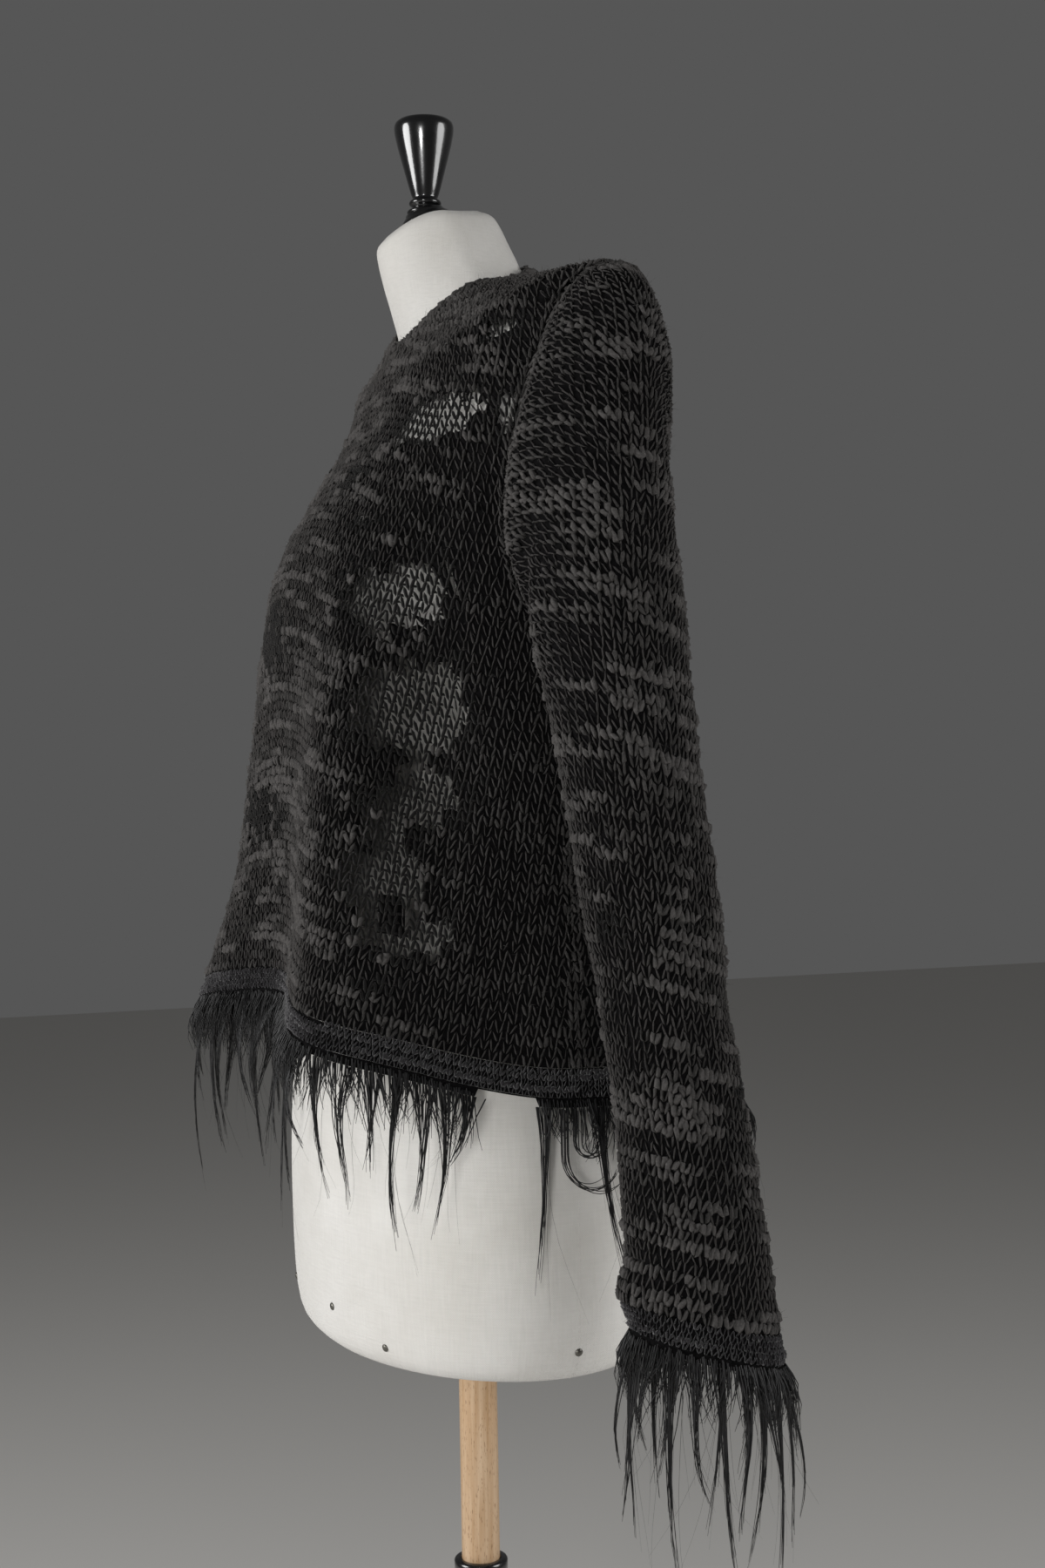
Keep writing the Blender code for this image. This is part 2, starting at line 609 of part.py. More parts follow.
def turned(name, profile, finish, steps=20):
    """A solid of revolution about Z. The profile runs from the top down its outer side."""
    made = bmesh.new()
    corners = [made.verts.new((radius, 0.0, height)) for radius, height in profile]
    for first, second in zip(corners, corners[1:]):
        made.edges.new((first, second))
    obj = add_object(name, mesh_from(made, name), finish)
    screw = obj.modifiers.new("turn", "SCREW")
    screw.steps = screw.render_steps = steps
    screw.use_merge_vertices = True
    screw.merge_threshold = 0.00005
    return obj


def applied(obj):
    """The object with its modifiers made part of its mesh."""
    graph = bpy.context.evaluated_depsgraph_get()
    mesh = bpy.data.meshes.new_from_object(obj.evaluated_get(graph))
    obj.modifiers.clear()
    obj.data = mesh
    return obj


CAP_TILT = math.radians(16.8)
CAP_MIDDLE = Vector((0.0, -0.0220, 1.4746))
WASHER_HEIGHT = 0.0085
WASHER_LIFT = 0.0009                     # above the middle of the cap, to clear its edge
FINIAL_Y = -0.0235
FINIAL_PROFILE = (
    (0.0, 1.5462),
    (0.0150, 1.5455),
    (0.0192, 1.5437),
    (0.0206, 1.5402),
    (0.0200, 1.5350),
    (0.0092, 1.4932),
    (0.0084, 1.4912),
    (0.0110, 1.4892),
    (0.0112, 1.4874),
    (0.0090, 1.4858),
    (0.0090, 1.4846),
    (0.0125, 1.4828),
    (0.0128, 1.4812),
    (0.0095, 1.4796),
    (0.0, 1.4796),
)


def build_finial(finish):
    """Turned knob on the neck, with a washer that lies on the slanting neck cap."""
    knob = turned("finial", FINIAL_PROFILE, finish)
    knob.location.y = FINIAL_Y
    bpy.context.view_layer.update()
    applied(knob)
    knob.data.transform(knob.matrix_world)
    knob.location = (0.0, 0.0, 0.0)
    normal = Vector((0.0, -math.sin(CAP_TILT), math.cos(CAP_TILT)))
    middle = CAP_MIDDLE + normal * (WASHER_HEIGHT / 2.0 + WASHER_LIFT)
    made = bmesh.new()
    placing = Matrix.Translation(middle) @ Matrix.Rotation(CAP_TILT, 4, "X")
    bmesh.ops.create_cone(
        made, cap_ends=True, segments=28, radius1=0.0170, radius2=0.0125, depth=WASHER_HEIGHT,
        matrix=placing,
    )
    washer = bpy.data.objects.new("washer_cutter", mesh_from(made, "washer_cutter"))
    CUTTERS.objects.link(washer)
    washer.hide_render = True
    washer.display_type = "WIRE"
    join = knob.modifiers.new("washer", "BOOLEAN")
    join.operation = "UNION"
    join.object = washer
    return knob


def build_stand(wood, lacquer):
    pole_top = FORM_BOTTOM - SEAT_GAP
    turned("pole", ((0.0, pole_top), (POLE_RADIUS, pole_top), (POLE_RADIUS, POLE_LOW), (0.0, POLE_LOW)), wood)
    bore = POLE_RADIUS + SEAT_GAP
    socket_floor = POLE_LOW - SEAT_GAP
    collar_low = COLLAR_TOP - COLLAR_HEIGHT
    tube_low = BASE_HEIGHT + SEAT_GAP
    turned(
        "stand_tube",
        (
            (0.0, socket_floor),
            (bore, socket_floor),
            (bore, COLLAR_TOP),
            (COLLAR_RADIUS - 0.0015, COLLAR_TOP),
            (COLLAR_RADIUS, COLLAR_TOP - 0.0015),
            (COLLAR_RADIUS, collar_low + 0.0015),
            (TUBE_RADIUS, collar_low),
            (TUBE_RADIUS, tube_low),
            (0.0, tube_low),
        ),
        lacquer,
    )
    turned(
        "stand_base",
        (
            (0.0, BASE_HEIGHT),
            (0.030, BASE_HEIGHT),
            (0.038, BASE_HEIGHT - 0.003),
            (0.090, BASE_HEIGHT - 0.008),
            (BASE_RADIUS - 0.006, BASE_EDGE),
            (BASE_RADIUS - 0.001, BASE_EDGE - 0.003),
            (BASE_RADIUS, BASE_EDGE - 0.006),
            (BASE_RADIUS - 0.002, 0.0),
            (0.0, 0.0),
        ),
        lacquer,
        36,
    )


def main():
    clear_scene()
    knit = material("slub_knit_wool", (0.030, 0.028, 0.030), 0.95)
    band = material("fine_knit_edge", (0.024, 0.023, 0.025), 0.95)
    hair = material("long_hair_fringe", (0.010, 0.010, 0.011), 0.6)
    canvas = material("form_canvas", (0.78, 0.75, 0.69), 0.9)
    wood = material("beech_pole", (0.60, 0.42, 0.25), 0.45)
    lacquer = material("black_lacquer", (0.010, 0.010, 0.011), 0.2)

    build_form(canvas)
    build_finial(lacquer)
    build_stand(wood, lacquer)
    build_panel("front_panel", 0.0, ARMHOLE_FRONT, knit)
    build_panel("back_panel", 180.0, ARMHOLE_BACK, knit)
    build_sleeve("sleeve_left", 0.0, knit)
    build_sleeve("sleeve_right", 180.0, knit)
    build_hem_band(band)
    mirror_copy(build_cuff_band(band), "cuff_band_right")
    build_hem_fringe("hem_fringe_front", 0.0, 0, hair)
    build_hem_fringe("hem_fringe_back", 180.0, 5, hair)
    mirror_copy(build_cuff_fringe(hair), "cuff_fringe_right")


main()
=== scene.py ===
"""A fringed pullover of charcoal slub yarn on a canvas dress form with a beech pole and a round base.

Metres, +Z up. The front faces -Y and the wearer's left is +X.
"""

import math

import bpy
import numpy as np
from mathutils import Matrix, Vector


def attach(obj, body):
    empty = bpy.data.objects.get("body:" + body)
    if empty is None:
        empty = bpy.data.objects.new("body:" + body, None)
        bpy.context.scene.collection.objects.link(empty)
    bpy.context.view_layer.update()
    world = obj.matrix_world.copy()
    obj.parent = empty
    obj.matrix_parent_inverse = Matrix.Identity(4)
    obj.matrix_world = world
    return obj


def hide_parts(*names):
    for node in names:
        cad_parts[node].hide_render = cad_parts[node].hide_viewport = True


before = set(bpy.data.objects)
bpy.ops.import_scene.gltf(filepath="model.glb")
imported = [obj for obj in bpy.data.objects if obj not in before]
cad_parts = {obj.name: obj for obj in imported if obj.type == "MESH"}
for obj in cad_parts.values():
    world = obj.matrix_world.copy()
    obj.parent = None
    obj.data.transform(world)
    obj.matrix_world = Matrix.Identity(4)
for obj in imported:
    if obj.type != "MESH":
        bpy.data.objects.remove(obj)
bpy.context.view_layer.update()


# Round base. A pressed steel disc with a raised middle, sprayed gloss black, that keeps the stand
# upright. It is turned from one profile, and its edge rolls under to the floor.

BASE_PROFILE = (
    (0.0, 0.0260), (0.0290, 0.0260), (0.0325, 0.0252), (0.0370, 0.0232), (0.0420, 0.0221),
    (0.0900, 0.0178), (0.1500, 0.0122), (0.1740, 0.0103), (0.1805, 0.0090), (0.1838, 0.0065),
    (0.1850, 0.0036), (0.1845, 0.0014), (0.1832, 0.0003), (0.1815, 0.0), (0.0, 0.0),
)


def linear(hex_code):
    """An sRGB hex colour as linear RGBA."""
    shares = [int(hex_code[start:start + 2], 16) / 255.0 for start in (0, 2, 4)]
    return tuple(s / 12.92 if s <= 0.04045 else ((s + 0.055) / 1.055) ** 2.4 for s in shares) + (1.0,)


def add(tree, kind, inputs=(), **settings):
    """Adds a node. inputs maps a socket's name or number to a value, an output or a node.

    Of a node, it takes the first output.
    """
    node = tree.nodes.new(kind)
    for name, value in settings.items():
        setattr(node, name, value)
    for key, value in dict(inputs).items():
        if isinstance(value, bpy.types.Node):
            value = value.outputs[0]
        if isinstance(value, bpy.types.NodeSocket):
            tree.links.new(value, node.inputs[key])
        else:
            node.inputs[key].default_value = value
    return node


def start_material(name, **fixed):
    """A Principled material with the values that are the same all over the surface."""
    made = bpy.data.materials.new(name)
    made.use_nodes = True
    shader = made.node_tree.nodes["Principled BSDF"]
    for key, value in fixed.items():
        shader.inputs[key.replace("_", " ")].default_value = value
    return made, made.node_tree, shader


def mesh_object(name, points, faces, finish, smooth_angle=40.0):
    """An object of listed faces, shaded smooth but for edges sharper than the angle."""
    mesh = bpy.data.meshes.new(name)
    mesh.from_pydata([tuple(p) for p in points], [], [tuple(int(i) for i in f) for f in faces])
    mesh.update()
    mesh.shade_smooth()
    mesh.set_sharp_from_angle(angle=math.radians(smooth_angle))
    mesh.materials.append(finish)
    made = bpy.data.objects.new(name, mesh)
    bpy.context.scene.collection.objects.link(made)
    return made


def turned_piece(name, profile, finish, centre=(0.0, 0.0), sides=96, smooth_angle=35.0):
    """A closed solid of revolution. The profile runs from the top down its outer side."""
    turns = np.arange(sides) * 2.0 * math.pi / sides
    points, rings = [], []
    for radius, height in profile:
        if radius == 0.0:
            rings.append([len(points)])
            points.append((centre[0], centre[1], height))
            continue
        rings.append(list(range(len(points), len(points) + sides)))
        for turn in turns:
            points.append((centre[0] + radius * math.cos(turn), centre[1] + radius * math.sin(turn), height))
    faces = []
    for upper, lower in zip(rings, rings[1:]):
        for side in range(sides):
            after = (side + 1) % sides
            if len(upper) == 1:
                faces.append((upper[0], lower[side], lower[after]))
            elif len(lower) == 1:
                faces.append((upper[side], lower[0], upper[after]))
            else:
                faces.append((upper[side], lower[side], lower[after], upper[after]))
    return mesh_object(name, points, faces, finish, smooth_angle)


def put_on(piece, slot, *nodes):
    """The piece rides on the one body and stands for its solids. The slot is not used."""
    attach(piece, "root")
    if nodes:
        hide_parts(*nodes)


# Gloss black stove enamel on steel: near black, a hard clear shine and a faint orange-peel ripple.
enamel, tree, shader = start_material(
    "black_stove_enamel", Base_Color=linear("0b0b0c"), Coat_Weight=0.6, Coat_Roughness=0.08
)
place = add(tree, "ShaderNodeTexCoord")
peel = add(tree, "ShaderNodeTexNoise", {"Vector": place.outputs["Object"], "Scale": 350.0, "Detail": 2.0})
dust = add(tree, "ShaderNodeTexNoise", {"Vector": place.outputs["Object"], "Scale": 38.0, "Detail": 5.0})
rub = add(
    tree, "ShaderNodeMapRange",
    {"Value": dust, "From Min": 0.35, "From Max": 0.75, "To Min": 0.14, "To Max": 0.30},
)
ripple = add(tree, "ShaderNodeBump", {"Height": peel, "Strength": 0.06, "Distance": 0.0004})
tree.links.new(rub.outputs[0], shader.inputs["Roughness"])
tree.links.new(ripple.outputs[0], shader.inputs["Normal"])

base = turned_piece("base_disc", BASE_PROFILE, enamel, sides=128)
put_on(base, "black_lacquer", "stand_base")


# Tube and collar. The steel tube is screwed to the base. Its turned collar closes round the pole.

TUBE_PROFILE = (
    (0.0, 0.4897), (0.0135, 0.4897), (0.0135, 0.5512), (0.0141, 0.5520), (0.0168, 0.5520),
    (0.0178, 0.5515), (0.0185, 0.5504), (0.0185, 0.5440), (0.0181, 0.5434), (0.0185, 0.5428),
    (0.0185, 0.5396), (0.0178, 0.5384), (0.0168, 0.5380), (0.0160, 0.5372), (0.0160, 0.0276),
    (0.0156, 0.0263), (0.0, 0.0263),
)
tube = turned_piece("stand_tube_and_collar", TUBE_PROFILE, enamel, sides=72)
put_on(tube, "black_lacquer", "stand_tube")


# Pole. A turned beech rod, 26 mm thick, clear varnished. It slides in the tube and holds the form.

POLE_PROFILE = ((0.0, 0.7137), (0.0132, 0.7137), (0.0132, 0.4908), (0.0124, 0.4900), (0.0, 0.4900))

# Varnished beech: pale orange brown, straight grain, and the short dark flecks of its rays.
beech, tree, shader = start_material("varnished_beech", Coat_Weight=0.25, Coat_Roughness=0.25)
place = add(tree, "ShaderNodeTexCoord")
along = add(tree, "ShaderNodeMapping", {"Vector": place.outputs["Object"], "Scale": (420.0, 420.0, 14.0)})
grain = add(
    tree, "ShaderNodeTexNoise", {"Vector": along, "Scale": 1.0, "Detail": 4.0, "Distortion": 0.4}
)
rays = add(tree, "ShaderNodeMapping", {"Vector": place.outputs["Object"], "Scale": (1300.0, 1300.0, 230.0)})
flecks = add(tree, "ShaderNodeTexNoise", {"Vector": rays, "Scale": 1.0, "Detail": 1.0})
fleck_mask = add(tree, "ShaderNodeMapRange", {"Value": flecks, "From Min": 0.62, "From Max": 0.70})
tone = add(tree, "ShaderNodeValToRGB", {"Fac": grain})
tone.color_ramp.elements[0].position = 0.30
tone.color_ramp.elements[0].color = linear("a4825c")
tone.color_ramp.elements[1].position = 0.72
tone.color_ramp.elements[1].color = linear("bfa486")
darker = add(
    tree, "ShaderNodeMix",
    {0: fleck_mask, 6: tone, 7: linear("8a6a4a")}, data_type="RGBA",
)
gloss = add(tree, "ShaderNodeMapRange", {"Value": grain, "To Min": 0.36, "To Max": 0.52})
pores = add(tree, "ShaderNodeBump", {"Height": flecks, "Strength": 0.12, "Distance": 0.0003})
tree.links.new(darker.outputs[2], shader.inputs["Base Color"])
tree.links.new(gloss.outputs[0], shader.inputs["Roughness"])
tree.links.new(pores.outputs[0], shader.inputs["Normal"])

pole = turned_piece("beech_pole", POLE_PROFILE, beech, sides=64)
put_on(pole, "beech", "pole")


# Dress form. A pressed shell padded smooth and covered in stretched off-white canvas, with sewn
# lengthwise seams, a flat neck cap and steel tacks round the lower edge. It stands on the pole.

# Sections from the lower rim to the neck: the side point, the front, the back and the squareness.
FORM_SECTIONS = np.array((
    (0.145, 0.000, 0.7140, -0.095, 0.7140, 0.098, 0.7140, 0.00),
    (0.163, 0.000, 0.7185, -0.109, 0.7185, 0.112, 0.7185, 0.00),
    (0.173, 0.000, 0.7380, -0.119, 0.7380, 0.122, 0.7380, 0.00),
    (0.176, 0.000, 0.8000, -0.122, 0.8000, 0.126, 0.8000, 0.00),
    (0.174, 0.000, 0.8700, -0.121, 0.8700, 0.124, 0.8700, 0.00),
    (0.161, 0.000, 0.9500, -0.114, 0.9500, 0.112, 0.9500, 0.00),
    (0.136, 0.000, 1.0300, -0.101, 1.0300, 0.089, 1.0300, 0.00),
    (0.122, 0.000, 1.0900, -0.094, 1.0900, 0.078, 1.0900, 0.00),
    (0.131, 0.002, 1.1500, -0.102, 1.1500, 0.084, 1.1500, 0.00),
    (0.146, 0.006, 1.2200, -0.119, 1.2150, 0.096, 1.2250, 0.00),
    (0.152, 0.012, 1.2700, -0.102, 1.2650, 0.105, 1.2800, 0.00),
    (0.158, 0.020, 1.3150, -0.079, 1.3050, 0.109, 1.3250, 0.00),
    (0.168, 0.028, 1.3520, -0.062, 1.3350, 0.104, 1.3600, 0.00),
    (0.172, 0.031, 1.3800, -0.054, 1.3510, 0.094, 1.3820, 0.00),
    (0.155, 0.029, 1.3960, -0.050, 1.3620, 0.081, 1.3970, 0.00),
    (0.122, 0.024, 1.4050, -0.0465, 1.3720, 0.067, 1.4110, 0.00),
    (0.089, 0.014, 1.4125, -0.0430, 1.3810, 0.0520, 1.4255, 0.00),
    (0.062, 0.001, 1.4200, -0.0400, 1.3900, 0.0415, 1.4430, 0.00),
    (0.0515, -0.006, 1.4340, -0.0460, 1.4110, 0.0385, 1.4520, 0.00),
    (0.0480, -0.011, 1.4480, -0.0515, 1.4290, 0.0335, 1.4620, 0.00),
    (0.0455, -0.015, 1.4610, -0.0555, 1.4450, 0.0280, 1.4730, 0.00),
    (0.0420, -0.018, 1.4700, -0.0565, 1.4560, 0.0225, 1.4800, 0.00),
    (0.0350, -0.0190, 1.4750, -0.0505, 1.4640, 0.0135, 1.4830, 0.00),
))
FORM_COLUMNS_ROUND = 120
FORM_ROWS = 96
FORM_GIRTH = 1.0                       # metres round the form that the weave is laid out on
FORM_INSIDE = (0.0, 0.0, 0.8)          # a point inside the form, from which its faces look away
CAP_RISE = 0.0010                      # the neck cap's middle stands this much above its edge
SEAM_ANGLES = (-4.0, 184.0, 270.0)
# Tacks round the rim: angle, and the level among the sections above.
TACKS = (
    (356.0, 1.93), (54.0, 1.82), (74.0, 2.21), (106.0, 2.20), (127.0, 1.82),
    (184.0, 1.93), (214.0, 1.85), (243.0, 2.05), (272.0, 1.95), (301.0, 2.05), (329.0, 1.85),
)
TACK_RADIUS = 0.0026


def between_rows(rows, level):
    """Every column of a table read between its rows, along curves through them."""
    level = np.asarray(level, float)
    last = len(rows) - 1
    low = np.clip(np.floor(level).astype(int), 0, last - 1)
    part = (level - low)[:, None]
    before, here = rows[np.maximum(low - 1, 0)], rows[low]
    there, after = rows[low + 1], rows[np.minimum(low + 2, last)]
    start = np.where((low == 0)[:, None], there - here, (there - before) / 2.0)
    end = np.where((low + 1 == last)[:, None], there - here, (after - here) / 2.0)
    square, cube = part ** 2, part ** 3
    return (
        (2 * cube - 3 * square + 1) * here + (cube - 2 * square + part) * start
        + (3 * square - 2 * cube) * there + (cube - square) * end
    )


def section_points(rows, level, angle):
    """Points of body-like sections: angle 0 is the left side, 90 the front, 270 the back."""
    side_x, side_y, side_z, front_y, front_z, back_y, back_z, square = between_rows(rows, level).T
    turn = np.radians(angle)
    across, deep = np.cos(turn), np.sin(turn)
    bulge = 1.0 + square * np.sin(2.0 * turn) ** 2
    y = side_y + (np.where(deep > 0, front_y, back_y) - side_y) * np.abs(deep) * bulge
    z = side_z + (np.where(deep > 0, front_z, back_z) - side_z) * deep * deep
    return np.stack([side_x * across * bulge, y, z], 1)


def distances(line):
    """How far along a line of points each of them lies."""
    return np.concatenate([[0.0], np.cumsum(np.linalg.norm(np.diff(line, axis=0), axis=1))])


def unit(vectors):
    return vectors / np.maximum(np.linalg.norm(vectors, axis=1, keepdims=True), 1e-12)


def outward_normals(surface, level, angle, inside, top):
    """Unit normals of a surface function, pointing away from the points inside."""
    level = np.clip(level, 0.0, top - 0.02)
    up = surface(level + 0.01, angle) - surface(level - 0.01, angle)
    around = surface(level, angle + 0.5) - surface(level, angle - 0.5)
    normal = unit(np.cross(around, up))
    flip = np.sign(np.sum(normal * (surface(level, angle) - inside), axis=1))
    return normal * np.where(flip == 0, 1.0, flip)[:, None]


def form_points(level, angle):
    return section_points(FORM_SECTIONS, level, angle)


def form_normals(level, angle):
    level = np.clip(np.asarray(level, float), 0.02, len(FORM_SECTIONS) - 1.02)
    middle = between_rows(FORM_SECTIONS, level)
    inside = np.stack([np.zeros(len(level)), middle[:, 1], middle[:, 2]], 1)
    return outward_normals(form_points, level, np.asarray(angle, float), inside, len(FORM_SECTIONS) - 1)


# Unbleached cotton canvas, plain woven and stretched: warm off-white, matt, with a fine even
# weave, soft blotches from handling and slightly greyer threads here and there. The real thread
# pitch is 0.7 mm; it is drawn at 1.1 mm so that it shows.
canvas, tree, shader = start_material(
    "cotton_canvas", Roughness=0.92, Sheen_Weight=0.15, Sheen_Roughness=0.6
)
laid = add(tree, "ShaderNodeUVMap", uv_map="cloth")
split = add(tree, "ShaderNodeSeparateXYZ", {0: laid})
THREAD_PITCH = 0.0011
threads_round = 2.0 * math.pi / THREAD_PITCH
warp = add(tree, "ShaderNodeMath", {0: split, 1: threads_round}, operation="MULTIPLY")
weft = add(tree, "ShaderNodeMath", {0: split.outputs[1], 1: threads_round}, operation="MULTIPLY")
warp_wave = add(tree, "ShaderNodeMath", {0: warp}, operation="SINE")
weft_wave = add(tree, "ShaderNodeMath", {0: weft}, operation="SINE")
weave = add(tree, "ShaderNodeMath", {0: warp_wave, 1: weft_wave}, operation="MULTIPLY")
place = add(tree, "ShaderNodeTexCoord")
blotch = add(
    tree, "ShaderNodeTexNoise",
    {"Vector": place.outputs["Object"], "Scale": 9.0, "Detail": 6.0, "Roughness": 0.6},
)
nap = add(tree, "ShaderNodeTexNoise", {"Vector": place.outputs["Object"], "Scale": 900.0, "Detail": 2.0})
tone = add(tree, "ShaderNodeValToRGB", {"Fac": blotch})
tone.color_ramp.elements[0].position = 0.28
tone.color_ramp.elements[0].color = linear("cac7c1")
tone.color_ramp.elements[1].position = 0.66
tone.color_ramp.elements[1].color = linear("d8d6d2")
threads = add(
    tree, "ShaderNodeMapRange", {"Value": weave, "From Min": -1.0, "To Min": 0.90, "To Max": 1.0}
)
shaded = add(
    tree, "ShaderNodeMix",
    {0: 1.0, 6: tone, 7: threads}, data_type="RGBA", blend_type="MULTIPLY",
)
lengthwise = add(tree, "ShaderNodeMapping", {"Vector": laid, "Scale": (620.0, 46.0, 1.0)})
crosswise = add(tree, "ShaderNodeMapping", {"Vector": laid, "Scale": (46.0, 620.0, 1.0)})
thick_warp = add(tree, "ShaderNodeTexNoise", {"Vector": lengthwise, "Scale": 1.0, "Detail": 1.0})
thick_weft = add(tree, "ShaderNodeTexNoise", {"Vector": crosswise, "Scale": 1.0, "Detail": 1.0})
uneven = add(tree, "ShaderNodeMath", {0: thick_warp, 1: thick_weft}, operation="ADD")
grey = add(
    tree, "ShaderNodeMapRange",
    {"Value": uneven, "From Min": 0.7, "From Max": 1.3, "To Min": 0.96, "To Max": 1.02},
)
spun = add(
    tree, "ShaderNodeMix",
    {0: 1.0, 6: shaded.outputs[2], 7: grey}, data_type="RGBA", blend_type="MULTIPLY",
)
proud = add(
    tree, "ShaderNodeMath", {0: uneven, 1: 3.0, 2: nap}, operation="MULTIPLY_ADD"
)
height = add(tree, "ShaderNodeMath", {0: weave, 1: proud}, operation="ADD")
relief = add(tree, "ShaderNodeBump", {"Height": height, "Strength": 0.5, "Distance": 0.00022})
tree.links.new(spun.outputs[2], shader.inputs["Base Color"])
tree.links.new(relief.outputs[0], shader.inputs["Normal"])


def lay_out(piece, coordinates):
    """Gives a mesh the UV map "cloth" in metres, from one coordinate pair for each vertex."""
    layer = piece.data.uv_layers.new(name="cloth")
    corners = np.empty(len(piece.data.loops), int)
    piece.data.loops.foreach_get("vertex_index", corners)
    layer.data.foreach_set("uv", np.asarray(coordinates, np.float32)[corners].ravel())


top_level = len(FORM_SECTIONS) - 1
# The share of the rows that lie below each of these sections.
row_shares = (0.0, 0.12, 0.8, 1.0)
levels = np.interp(np.linspace(0, 1, FORM_ROWS), row_shares, (0.0, 3.0, 17.0, top_level))
angles = np.arange(FORM_COLUMNS_ROUND) * 360.0 / FORM_COLUMNS_ROUND
grid_level, grid_angle = (a.ravel() for a in np.meshgrid(levels, angles, indexing="ij"))
points = form_points(grid_level, grid_angle)
faces = []
for row in range(FORM_ROWS - 1):
    for column in range(FORM_COLUMNS_ROUND):
        after = (column + 1) % FORM_COLUMNS_ROUND
        low, high = row * FORM_COLUMNS_ROUND, (row + 1) * FORM_COLUMNS_ROUND
        faces.append((low + column, low + after, high + after, high + column))
bottom, top = len(points), len(points) + 1
first_ring, last_ring = points[:FORM_COLUMNS_ROUND], points[-FORM_COLUMNS_ROUND:]
points = np.vstack([points, first_ring.mean(0), last_ring.mean(0) + (0.0, 0.0, CAP_RISE)])
for column in range(FORM_COLUMNS_ROUND):
    after = (column + 1) % FORM_COLUMNS_ROUND
    faces.append((bottom, after, column))
    high = (FORM_ROWS - 1) * FORM_COLUMNS_ROUND
    faces.append((top, high + column, high + after))
a, b, c = (points[corner] for corner in faces[0][:3])
if np.dot(np.cross(b - a, c - a), a - FORM_INSIDE) < 0:
    faces = [tuple(reversed(face)) for face in faces]
form = mesh_object("canvas_form", points, faces, canvas, 60.0)
round_it = np.arctan2(points[:, 1], points[:, 0]) / (2 * math.pi) * FORM_GIRTH
lay_out(form, np.stack([round_it, points[:, 2]], 1))
put_on(form, "canvas", "form_torso")


def plain_mesh(source, name):
    """The evaluated mesh of an object as a new object, without the modifiers that made it."""
    graph = bpy.context.evaluated_depsgraph_get()
    mesh = bpy.data.meshes.new_from_object(source.evaluated_get(graph))
    bpy.data.objects.remove(source)
    mesh.name = name
    made = bpy.data.objects.new(name, mesh)
    bpy.context.scene.collection.objects.link(made)
    return made


def sites_object(name, points, edges=(), **attributes):
    """Bare points, or lines, that carry the values a Geometry Nodes tree reads."""
    mesh = bpy.data.meshes.new(name)
    mesh.from_pydata([tuple(p) for p in points], [tuple(int(i) for i in e) for e in edges], [])
    for key, values in attributes.items():
        values = np.asarray(values)
        kind = "FLOAT_VECTOR" if values.ndim == 2 else ("INT" if values.dtype.kind == "i" else "FLOAT")
        field = mesh.attributes.new(key, kind, "POINT")
        if kind == "FLOAT_VECTOR":
            field.data.foreach_set("vector", values.astype(np.float32).ravel())
        else:
            field.data.foreach_set("value", values.astype(np.int32 if kind == "INT" else np.float32))
    made = bpy.data.objects.new(name, mesh)
    bpy.context.scene.collection.objects.link(made)
    return made


def grow(source, tree, values, name, keep=()):
    """Runs a Geometry Nodes tree on an object and returns the plain mesh with only kept attributes."""
    modifier = source.modifiers.new("grow", "NODES")
    modifier.node_group = tree
    for item in tree.interface.items_tree:
        if item.in_out == "INPUT" and item.name in values:
            modifier[item.identifier] = values[item.name]
    source.update_tag()
    made = plain_mesh(source, name)
    for field in [a.name for a in made.data.attributes if a.domain == "POINT" and a.name != "position"]:
        if field not in keep and not field.startswith("."):
            made.data.attributes.remove(made.data.attributes[field])
    made.data.shade_smooth()
    return made


def start_tree(name, output, **inputs):
    """A Geometry Nodes tree with its named inputs, and the node that hands them on."""
    tree = bpy.data.node_groups.new(name, "GeometryNodeTree")
    for label, kind in inputs.items():
        tree.interface.new_socket(label, in_out="INPUT", socket_type="NodeSocket" + kind)
    tree.interface.new_socket(output, in_out="OUTPUT", socket_type="NodeSocketGeometry")
    return tree, add(tree, "NodeGroupInput")


def end_tree(tree, geometry, finish):
    """Makes the instances real, gives them their material and closes the tree."""
    whole = add(tree, "GeometryNodeRealizeInstances", {0: geometry})
    coloured = add(tree, "GeometryNodeSetMaterial", {0: whole, "Material": finish})
    add(tree, "NodeGroupOutput", {0: coloured})


# Thread or hair: each line of points becomes a thin strand, as thick as its "hair" value says.
strand_tree, given = start_tree(
    "strands_along_lines", "Strands", Lines="Geometry", Sides="Int", Finish="Material"
)
thickness = add(strand_tree, "GeometryNodeInputNamedAttribute", {"Name": "hair"}, data_type="FLOAT")
curves = add(strand_tree, "GeometryNodeMeshToCurve", {0: given.outputs["Lines"]})
profile = add(
    strand_tree, "GeometryNodeCurvePrimitiveCircle", {"Resolution": given.outputs["Sides"], "Radius": 1.0}
)
sized = add(
    strand_tree, "GeometryNodeSetCurveRadius",
    {"Curve": curves, "Radius": thickness},
)
swept = add(
    strand_tree, "GeometryNodeCurveToMesh",
    {"Curve": sized, "Profile Curve": profile, "Fill Caps": True},
)
if "Scale" in swept.inputs:
    strand_tree.links.new(thickness.outputs[0], swept.inputs["Scale"])
end_tree(strand_tree, swept, given.outputs["Finish"])

